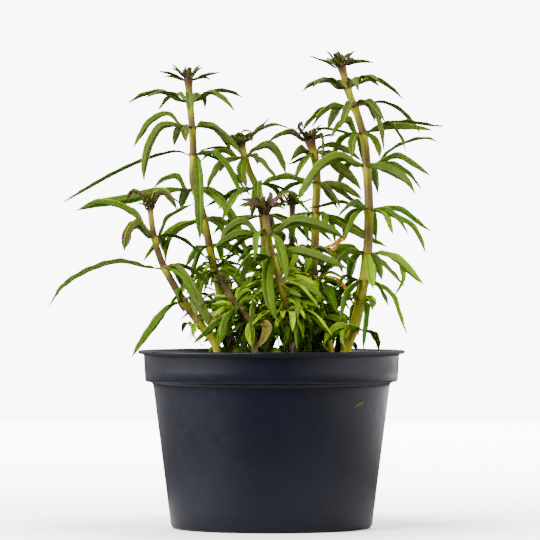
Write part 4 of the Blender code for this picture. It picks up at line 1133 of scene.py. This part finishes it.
def lathe(outline, sides):
    """A turned mesh of an outline of (radius, height) points."""
    points, faces, rows = [], [], []
    for radius, height in outline:
        if radius < 1e-9:
            rows.append([len(points)])
            points.append(Vector((0, 0, height)))
            continue
        rows.append(list(range(len(points), len(points) + sides)))
        for k in range(sides):
            angle = 2 * math.pi * k / sides
            points.append(Vector((radius * math.cos(angle), radius * math.sin(angle), height)))
    for a, b in zip(rows, rows[1:]):
        for k, n in around(sides):
            if len(a) == 1:
                faces.append((a[0], b[k], b[n]))
            elif len(b) == 1:
                faces.append((a[k], a[n], b[0]))
            else:
                faces.append((a[k], a[n], b[n], b[k]))
    return points, faces


def drill(piece, x, y):
    """Cuts a drain hole through the pot's floor."""
    bpy.ops.mesh.primitive_cylinder_add(vertices=32, radius=DRAIN_R, depth=8 * MM, location=(x, y, 1 * MM))
    cutter = bpy.context.object
    modifier = piece.modifiers.new("drain", "BOOLEAN")
    modifier.operation = "DIFFERENCE"
    modifier.solver = "EXACT"
    modifier.object = cutter
    bpy.context.view_layer.objects.active = piece
    bpy.ops.object.modifier_apply(modifier=modifier.name)
    bpy.data.objects.remove(cutter)


def dress_pot():
    """A smooth pot in place of the faceted one, with its ring of drain holes."""
    section = UNDERSIDE + STEP + COLLAR + FLANGE + INNER_LIP + INNER_WALL + INNER_STEP + INNER_FLOOR
    outline = [(radius * MM, height * MM) for radius, height in section]
    widest, highest = max(radius for radius, _ in outline), max(height for _, height in outline)
    assert abs(widest - FLANGE_R) < 0.5 * MM and abs(highest - RIM_HEIGHT) < 0.5 * MM
    fine = []
    for (r0, z0), (r1, z1) in zip(outline, outline[1:]):
        steps = max(1, round(math.hypot(r1 - r0, z1 - z0) / POT_ROW))
        fine += [(r0 + (r1 - r0) * i / steps, z0 + (z1 - z0) * i / steps) for i in range(steps)]
    fine.append(outline[-1])
    piece = add_piece("nursery_pot", lathe(fine, POT_SIDES), POT)
    face_out(piece)
    for k in range(DRAIN_HOLES):
        angle = 2 * math.pi * (k + 0.5) / DRAIN_HOLES
        drill(piece, DRAIN_RING * math.cos(angle), DRAIN_RING * math.sin(angle))
    piece.data.shade_smooth()
    settle(piece, "pot", "pot")


# Growing medium

# Its surface in millimetres: the height at the wall, how uneven it is, how far the middle stands higher; and
# the radius in metres of that mound
SOIL_TOP = 68.0
SOIL_UNEVEN = 1.6
SOIL_MOUND = 1.5
MOUND_R = 0.0533
# Its radius at the foot, the heights where it meets the wall's step, and how far its edge presses out there
SOIL_FOOT_R = 43.1 * MM
SOIL_STEP = (64 * MM, 66 * MM)
SOIL_PRESS = (0.3 * MM, 0.2 * MM)
SOIL_RINGS = 40
SOIL_SIDES = 120

CRUMBS = 700
CRUMB_REACH = 50 * MM
FIBRES = 90
FIBRE_REACH = 46 * MM


def soil_top(x, y):
    """The height of the medium's surface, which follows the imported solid's top."""
    rough = noise.noise(Vector((x * 70, y * 70, 3.1)))
    mound = 1 - (x * x + y * y) / MOUND_R ** 2
    return (SOIL_TOP + SOIL_UNEVEN * rough + SOIL_MOUND * mound) * MM


def dress_soil():
    """The growing medium, with a crumbly surface."""
    foot, top = SOIL_LOW[2], SOIL_TOP * MM
    outline = [(0, foot), (SOIL_FOOT_R, foot), (SOIL_R, SOIL_STEP[0]), (SOIL_R + SOIL_PRESS[0], SOIL_STEP[1])]
    outline += [((SOIL_R + SOIL_PRESS[1]) * (1 - k / SOIL_RINGS), top) for k in range(SOIL_RINGS)]
    outline.append((0, top))
    points, faces = lathe(outline, SOIL_SIDES)
    for point in points:
        if point.z > top - 1 * MM:
            fine = noise.fractal(point * 620, 0.8, 2.2, 4) * 0.75 * MM
            coarse = noise.noise(point * 210) * 0.5 * MM
            point.z = soil_top(point.x, point.y) + fine + coarse - 0.2 * MM
    dress("growing_medium", (points, faces), SOIL, "substrate", "substrate")


def grain(centre, size, drawn):
    """A small angular crumb."""
    work = bmesh.new()
    bmesh.ops.create_icosphere(work, subdivisions=1, radius=1)
    heading = drawn.uniform(0, TURN)
    turn = Matrix.Rotation(heading, 3, Vector((drawn.gauss(0, 1), drawn.gauss(0, 1), 1)).normalized())
    stretch = Vector((drawn.uniform(0.6, 1.5), drawn.uniform(0.6, 1.2), drawn.uniform(0.4, 0.9)))
    points = []
    for vertex in work.verts:
        knocked = vertex.co * (1 + 0.28 * drawn.uniform(-1, 1))
        points.append(centre + turn @ Vector([knocked[k] * stretch[k] * size for k in range(3)]))
    faces = [tuple(v.index for v in face.verts) for face in work.faces]
    work.free()
    return points, faces, [], []


def thread(route, radius, sides=6, taper=0.4, steps=14):
    """A thin closed strand along the route, which tapers to a share of its radius."""
    points, faces = [], []
    for i in range(steps + 1):
        t = i / steps
        centre = blend(route, t)
        ahead = (blend(route, min(1, t + 0.03)) - blend(route, max(0, t - 0.03))).normalized()
        u = ahead.orthogonal().normalized()
        v = ahead.cross(u)
        size = radius * (1 - (1 - taper) * t)
        for k in range(sides):
            angle = 2 * math.pi * k / sides
            points.append(centre + (u * math.cos(angle) + v * math.sin(angle)) * size)
        if i:
            faces += ring_faces(i * sides, sides)
    last = steps * sides
    faces.append(tuple(range(sides - 1, -1, -1)))
    faces.append(tuple(range(last, last + sides)))
    return points, faces, [], []


def spot_on_soil(most, drawn):
    """A random place on the medium, at most this far from its middle."""
    angle, reach = drawn.uniform(0, TURN), most * math.sqrt(drawn.random())
    return reach * math.cos(angle), reach * math.sin(angle)


def fibre(drawn):
    """A short strand that lies on the medium."""
    x, y = spot_on_soil(FIBRE_REACH, drawn)
    heading, span = drawn.uniform(0, TURN), drawn.uniform(3, 9) * MM
    route = []
    for k in range(4):
        px = x + math.cos(heading) * span * (k / 3 - 0.5) + drawn.uniform(-0.6, 0.6) * MM
        py = y + math.sin(heading) * span * (k / 3 - 0.5) + drawn.uniform(-0.6, 0.6) * MM
        route.append(Vector((px, py, soil_top(px, py) + drawn.uniform(0.3, 1.3) * MM)))
    return thread(route, drawn.uniform(0.12, 0.3) * MM, sides=5, taper=0.6, steps=8)


def scatter_crumbs():
    """Crumbs and fibres on the medium's surface, as parts of it."""
    drawn = random.Random(11)
    crumbs = []
    for _ in range(CRUMBS):
        x, y = spot_on_soil(CRUMB_REACH, drawn)
        size = drawn.uniform(0.5, 1.5) * MM
        crumbs.append(grain(Vector((x, y, soil_top(x, y) + size * 0.1)), size, drawn))
    fibres = [fibre(drawn) for _ in range(FIBRES)]
    settle(add_piece("medium_crumbs", gather(crumbs)[:2], SOIL, smooth=False), "substrate")
    dress("medium_fibres", gather(fibres)[:2], DEAD_DARK_AND_SHADE, "substrate")


# Dead matter

# Thin roots: the stem and row that each starts from, its thickness in millimetres, and its route, written as
# in the crowns
ROOTS = {
    "hanging_root": (
        "left_leaning_stem", 320, 0.42, ((195, 326, -2), (193, 333, -3), (197, 340, -3), (203, 346, -3))),
    "side_root": (
        "left_leaning_stem", 327, 0.36, ((198, 329, -2), (191, 334, -3), (190, 340, -3))),
    "crossing_root": (
        "front_stem", 331, 0.45, ((286, 332, -4), (276, 331, -6), (266, 329, -7), (257, 326, -7))),
    "low_crossing_root": (
        "front_stem", 335, 0.35, ((283, 336, -4), (274, 334, -6), (267, 338, -7), (262, 344, -7))),
    "black_root": (
        "right_centre_stem", 319, 0.50, ((318, 321, -4), (311, 325, -6), (309, 333, -7), (305, 343, -7))),
    "curled_root": (
        "right_centre_stem", 294, 0.35, ((326, 290, -2), (333, 295, -3), (337, 301, -3), (333, 306, -4))),
    "thin_side_root": (
        "right_centre_stem", 286, 0.25, ((323, 284, 0), (323, 290, -1), (327, 287, -1), (332, 286, -2))),
    "dark_hook": (
        "left_back_stem", 318, 0.30, ((219, 315, -4), (213, 318, -6), (212, 325, -6))),
    "twig_strand": (
        "twig_stem", 318, 0.40, ((238, 322, 0), (231, 320, 1), (226, 318, 1))),
}

# Shrivelled leaves: the stem and row, half width in millimetres, and the route
DRY_LEAVES = {
    "pale_withered_leaf": (
        "twig_stem", 321, 2.3, ((258, 321, -3), (267, 324, -5), (265, 335, -6), (257, 348, -6))),
    "orange_leaf": (
        "right_centre_stem", 250, 1.3, ((326, 247, -3), (336, 243, -5), (343, 238, -6), (348, 236, -6))),
    "orange_fold": (
        "right_centre_stem", 252, 1.2, ((326, 251, -3), (334, 248, -5), (341, 245, -6), (343, 250, -6))),
    "orange_small": (
        "right_centre_stem", 276, 1.1, ((330, 276, -3), (339, 280, -5), (344, 286, -6), (348, 293, -6))),
    "brown_curl": (
        "twig_stem", 295, 0.5, ((218, 293, -1), (210, 294, -1), (203, 299, -1), (198, 308, -2))),
    "brown_fold": (
        "back_stem", 262, 0.9, ((317, 262, -3), (322, 268, -4), (320, 275, -4))),
    "brown_hook": (
        "twig_stem", 316, 0.6, ((232, 318, -1), (224, 315, -2), (215, 316, -3), (212, 323, -4))),
}
DRY_FINISH = {"pale": DEAD_PALE, "orange": DEAD_ORANGE, "brown": DEAD_BROWN}

# Fresh leaves that stand apart from the whorls, in the same way
LONE_LEAVES = {
    "cupped_leaf": (
        "right_centre_stem", 300, 3.0, ((308, 303, -6), (304, 311, -8), (307, 320, -8), (312, 326, -7))),
    "side_bud": (
        "left_leaning_stem", 296, 0.8, ((183, 291, -1), (186, 287, -2), (189, 292, -2))),
    "round_side_leaf": (
        "right_stem", 298, 1.6, ((365, 297, -1), (370, 297, -2), (374, 302, -2), (371, 309, -1))),
    "bright_leaf": (
        "front_stem", 296, 2.0, ((291, 299, -2), (297, 300, -3), (299, 310, -3), (296, 322, -3))),
    "low_shade_dark_leaf": (
        "twig_stem", 305, 2.4, ((236, 307, -4), (228, 318, -6), (222, 332, -7), (218, 347, -7))),
    "middle_leaf": (
        "twig_stem", 322, 2.2, ((250, 324, -4), (250, 334, -6), (252, 347, -7))),
    "low_left_leaf": (
        "left_back_stem", 322, 1.6, ((222, 329, -4), (213, 335, -6), (203, 342, -7))),
    "low_right_leaf": (
        "right_stem", 326, 1.5, ((346, 326, -1), (337, 331, -2), (328, 341, -4))),
}


def dress_roots(lines):
    """Thin roots, each from the stem that carries it."""
    for name, (stem, row, thick, spots) in ROOTS.items():
        route = route_from(at_row(lines[stem], row), spots)
        dress(name, thread(route, thick * MM, sides=7, taper=0.5, steps=24)[:2], DEAD_DARK_AND_SHADE, "substrate")


def leaf_from(lines, stem, row, half, spots):
    """A leaf that starts from this row of a stem."""
    return leaf_along(route_from(at_row(lines[stem], row), spots), half * MM)


def dress_dry_leaves(lines):
    """Shrivelled leaves, each on the stem that carries it."""
    for name, held in DRY_LEAVES.items():
        mesh = blade(*leaf_from(lines, *held), None, seed)
        dress(name, mesh[:2], DRY_FINISH[name.split("_")[0]], "leaf")


def dress_lone_leaves(lines):
    """Fresh leaves that stand apart from the whorls. The low ones are darker, as painted shade at the base of
    the foliage, and one is bright.
    """
    for name, held in LONE_LEAVES.items():
        # Painted shade: the low leaves take a dark green.
        fresh = 1.0 if "bright" in name else 0.3 if "low" in name else FULL_GREEN
        dress(name, blade(*leaf_from(lines, *held), (fresh, 0.0, 0.0), seed), LEAF, "leaf")


# The spoon-shaped leaf on the left: the row where it leaves its stem, its half width and route, how far along
# it the magenta tip starts, and its freshness, blush, blush at the tip and redness at the foot
SPOON_ROW = 234
SPOON_HALF = 3.0 * MM
SPOON_ROUTE = ((146, 228, -1), (139, 223, -2), (132, 222, -3), (128, 230, -3), (126, 239, -3), (124, 250, -2))
SPOON_TIP = 0.76
SPOON_LOOK = (0.6, 0.6, 1.0, 0.3)


def dress_spoon_leaf(lines):
    """A thin stalk and a broad hanging blade with a magenta tip."""
    route = route_from(at_row(lines["left_leaning_stem"], SPOON_ROW), SPOON_ROUTE)
    points, faces, marks, _ = blade(*leaf_along(route, SPOON_HALF, stalk=0.38, foot=0.15), None, seed)
    fresh, blush, tip_blush, red_foot = SPOON_LOOK
    traits = [(fresh, tip_blush if along > SPOON_TIP else blush, red_foot) for along, _, _ in marks]
    dress("spoon_leaf", (points, faces, marks, traits), YOUNG_LEAF, "leaf")


# The dark litter round each bushy stem's foot, partly real and partly painted shade: how many low leaves and
# roots it has, the heights where they start and where the roots end, in metres, and how far from the pot's
# axis it stays
LOW_LEAVES = 18
LOW_ROOTS = 8
LOW_LEAF_START = 0.0705
LOW_ROOT_START = 0.070
LOW_ROOT_END = 0.0685
LITTER_REACH = 0.050


def random_reach(drawn, near, far, low, high):
    """A random direction on the level, how far to go in it, and how high. The limits are in millimetres."""
    heading = drawn.uniform(0, TURN)
    out = Vector((math.cos(heading), math.sin(heading), 0))
    return out, drawn.uniform(near, far) * MM, drawn.uniform(low, high) * MM


def low_leaf_route(foot, drawn):
    """The route of a low leaf that arches out from a stem's foot."""
    out, reach, tall = random_reach(drawn, 4, 12, 9, 23)
    start = Vector((foot.x, foot.y, LOW_LEAF_START)) + out * 1.5 * MM
    return [start, start + out * reach * 0.4 + UP * tall * 0.7, start + out * reach * 0.8 + UP * tall,
            start + out * reach + UP * tall * drawn.uniform(0.4, 0.9)]


def low_root_route(foot, drawn):
    """The route of a low root, from a stem's foot out and down into the medium."""
    out, reach, tall = random_reach(drawn, 5, 13, 4, 17)
    start = Vector((foot.x, foot.y, LOW_ROOT_START + tall))
    bend = Vector((drawn.uniform(-2, 2), drawn.uniform(-2, 2), drawn.uniform(-1, 2))) * MM
    end = Vector((foot.x, foot.y, LOW_ROOT_END)) + out * reach
    return [start, start + out * reach * 0.4 + bend, start + out * reach * 0.8 - UP * tall * 0.5, end]


def dress_litter_and_shade(lines, kept):
    """Dark leaves, dead and living, and roots in the tangle round the stems' feet. Their dark colours are
    partly painted shade: they fill the dark between the foliage at the base.
    """
    drawn = random.Random(23)
    dead, shaded, roots = [], [], []
    for stem in BUSHY:
        foot = lines[stem][0]
        for _ in range(LOW_LEAVES):
            route = low_leaf_route(foot, drawn)
            leaf = leaf_along(route, drawn.uniform(0.9, 1.7) * MM)
            if max(math.hypot(p.x, p.y) for p in route) < LITTER_REACH and not covers(leaf, kept):
                # Painted shade: the living ones take the darkest greens and the dead ones the near-black
                # finish, to darken the base of the foliage.
                side = dead if drawn.random() < 0.3 else shaded
                side.append(blade(*leaf, (drawn.uniform(0, 0.3), 0, 0), drawn))
        for _ in range(LOW_ROOTS):
            route = low_root_route(foot, drawn)
            if math.hypot(route[-1].x, route[-1].y) < LITTER_REACH:
                roots.append(thread(route, drawn.uniform(0.18, 0.42) * MM, sides=6, taper=0.6, steps=12))
    dress("dead_shade_dark_low_leaves", gather(dead)[:2], DEAD_DARK_AND_SHADE, "leaf")
    dress("shade_dark_low_leaves", gather(shaded), LEAF, "leaf")
    dress("shade_dark_dead_roots", gather(roots)[:2], DEAD_DARK_AND_SHADE, "substrate")


# A sliver of plant that sticks to the pot's wall: its middle on the photograph's grid, and its size
SLIVER_ACROSS = 357
SLIVER_DOWN = 402
SLIVER_HALF_LENGTH = 2.9 * MM
SLIVER_HALF_WIDTH = 0.75 * MM
SLIVER_TILT = 0.45
SLIVER_FRONT = -0.035


def wall_point(x, z):
    """The point of the pot's front wall at this x and height, under the collar."""
    (low_r, low_z), (high_r, high_z) = UNDERSIDE[-1], STEP[0]
    radius = (low_r + (high_r - low_r) * (z / MM - low_z) / (high_z - low_z)) * MM
    return Vector((x, -math.sqrt(radius * radius - x * x), z))


def dress_sliver():
    """The sliver, flat on the wall with its face out."""
    x = (SLIVER_ACROSS - GRID_AXIS) * GRID_STEP
    z = RIM_HEIGHT + (GRID_RIM - SLIVER_DOWN) * GRID_STEP
    route = []
    for share in (-1, -0.4, 0.3, 1):
        spot = wall_point(x + share * SLIVER_HALF_LENGTH * math.cos(SLIVER_TILT),
                          z + share * SLIVER_HALF_LENGTH * math.sin(SLIVER_TILT))
        outward = Vector((spot.x, spot.y, 0)).normalized()
        route.append(spot + outward * 0.35 * MM)
    leaf = leaf_along(route, SLIVER_HALF_WIDTH, Vector((x, SLIVER_FRONT, 0)).normalized())
    dress("sliver_on_pot", blade(*leaf, None, seed)[:2], DEAD_PALE, "leaf")


# Stage

# How bright the room is on each side of the object and everywhere, and how white the backdrop and the floor
# look to the camera
LEFT_GLOW = 7.0
RIGHT_GLOW = 2.2
BACK_GLOW = 0.7
HIGH_GLOW = 0.5
LEAST_GLOW = 0.04
PAPER_WHITE = 9.0
FLOOR_WHITE = 0.62
FLOOR_SEEN = (0.86, 0.86, 0.86)
FLOOR_R = 1.6
FLOOR_THICK = 2 * MM

# The lamps: place, power in watts and width. The glint lamp shows only in the shine of the surfaces.
LAMP_TARGET = (0, 0, 0.13)
LAMPS = {
    "key": ((-0.75, -0.95, 1.05), 60, 0.8),
    "fill": ((1.05, -0.75, 0.8), 22, 0.8),
    "back": ((0.15, 1.3, 0.7), 55, 1.0),
    "glint": ((-0.5, -0.8, 1.3), 9, 0.3),
}


def light(name):
    """One of the lamps, as a round soft light that faces the plant."""
    spot, power, width = LAMPS[name]
    data = bpy.data.lights.new(name, "AREA")
    data.energy = power
    data.shape = "DISK"
    data.size = width
    made = bpy.data.objects.new(name, data)
    made.location = spot
    made.rotation_euler = (Vector(LAMP_TARGET) - Vector(spot)).to_track_quat("-Z", "Y").to_euler()
    made.visible_glossy = name == "glint"
    made.visible_diffuse = name != "glint"
    bpy.context.scene.collection.objects.link(made)


def set_world():
    """A studio room: bright behind, softer at the sides, and dark round the camera, so that the dark
    pot keeps a dark middle. The camera itself sees plain white."""
    world = bpy.data.worlds.new("studio room")
    bpy.context.scene.world = world
    world.use_nodes = True
    tree = world.node_tree
    background = tree.nodes["Background"]
    places = tree.nodes.new("ShaderNodeTexCoord")
    split = tree.nodes.new("ShaderNodeSeparateXYZ")
    wire(tree, places.outputs["Generated"], split.inputs[0])
    right, back, high = split.outputs
    behind = ramp(tree, mix_value(tree, back, 0.5, 1.0), [(0.45, 0.0), (0.85, 1.0)])
    leftward = ramp(tree, mix_value(tree, right, 0.0, -1.0), [(0.42, 0.0), (0.95, 1.0)])
    forward = ramp(tree, mix_value(tree, back, 0.5, 1.0), [(0.45, 1.0), (0.75, 0.20)])
    parts = [
        (maths(tree, "MULTIPLY", leftward, forward), LEFT_GLOW),
        (ramp(tree, right, [(0.70, 0.0), (1.0, 1.0)]), RIGHT_GLOW),
        (maths(tree, "MULTIPLY", behind, ramp(tree, high, [(0.03, 0.15), (0.25, 1.0)])), BACK_GLOW),
        (ramp(tree, high, [(0.35, 0.0), (0.9, 1.0)]), HIGH_GLOW),
    ]
    glow = LEAST_GLOW
    for part, bright in parts:
        glow = maths(tree, "ADD", maths(tree, "MULTIPLY", part, bright), glow)
    path = tree.nodes.new("ShaderNodeLightPath")
    seen = maths(tree, "MULTIPLY", path.outputs["Is Camera Ray"], PAPER_WHITE)
    wire(tree, maths(tree, "MAXIMUM", glow, seen), background.inputs["Strength"])
    background.inputs["Color"].default_value = (1, 1, 1, 1)


def glowing_floor_material():
    """A pale floor that glows white to the camera away from the pot, as the backdrop does, and only faintly
    near the pot. To every other ray its colour is painted bounce light.
    """
    made, tree, shader = new_material("pale floor")
    shader.inputs["Roughness"].default_value = 0.75
    shader.inputs["Emission Color"].default_value = (1, 1, 1, 1)
    places = tree.nodes.new("ShaderNodeTexCoord")
    reach = tree.nodes.new("ShaderNodeVectorMath")
    reach.operation = "LENGTH"
    wire(tree, places.outputs["Object"], reach.inputs[0])
    # Painted glow: to the camera the floor glows white, faintly near the pot and fully far from it.
    fade = ramp(tree, reach.outputs["Value"], [(0.06, 0.04), (0.16, 0.30), (0.50, FLOOR_WHITE)])
    aside = tree.nodes.new("ShaderNodeSeparateXYZ")
    wire(tree, places.outputs["Object"], aside.inputs[0])
    near = ramp(tree, reach.outputs["Value"], [(0.09, 0.28), (0.20, 0.03)])
    # Painted bounce light: to rays other than the camera's, the floor is lighter near the pot and at its
    # sides, and more on the right than on the left, so that it lights the pot and shows in its shine.
    sideways = maths(tree, "ADD", aside.outputs[0], 0.5)
    sides = ramp(tree, sideways, [(0.10, 0.16), (0.38, 0.0), (0.62, 0.0), (0.90, 0.5)])
    lit = maths(tree, "MAXIMUM", near, sides)
    path = tree.nodes.new("ShaderNodeLightPath")
    seen = maths(tree, "MULTIPLY", path.outputs["Is Camera Ray"], PAPER_WHITE)
    shown = mix_colour(tree, path.outputs["Is Camera Ray"], lit, FLOOR_SEEN)
    wire(tree, shown, shader.inputs["Base Color"])
    wire(tree, maths(tree, "MULTIPLY", fade, seen), shader.inputs["Emission Strength"])
    return made


def set_stage():
    """The floor, the lamps and the room."""
    outline = [(0, -FLOOR_THICK), (FLOOR_R, -FLOOR_THICK), (FLOOR_R, 0), (0, 0)]
    floor = add_piece("floor", lathe(outline, 96), glowing_floor_material(), smooth=False)
    for name in LAMPS:
        light(name)
    set_world()


def set_camera():
    """The photograph's view, level and from the front."""
    data = bpy.data.cameras.new("camera")
    data.sensor_width = 36
    data.lens = VIEW_DISTANCE / GRID_STEP / GRID_WIDTH * data.sensor_width
    data.shift_x = -(GRID_AXIS - GRID_WIDTH / 2) / GRID_WIDTH
    data.clip_end = 30
    made = bpy.data.objects.new("camera", data)
    made.location = (0, -VIEW_DISTANCE, VIEW_HEIGHT)
    made.rotation_euler = (math.pi / 2, 0, 0)
    bpy.context.scene.collection.objects.link(made)
    bpy.context.scene.camera = made


def main():
    set_camera()
    set_stage()
    lines = {stem: dress_stem(stem) for stem in sorted(LOOKS)}
    kept = in_sight(lines)
    for stem, centres in lines.items():
        dress_leaves(stem, centres, kept)
    dress_roots(lines)
    dress_dry_leaves(lines)
    dress_lone_leaves(lines)
    dress_spoon_leaf(lines)
    dress_litter_and_shade(lines, kept)
    dress_sliver()
    dress_pot()
    dress_soil()
    scatter_crumbs()


main()
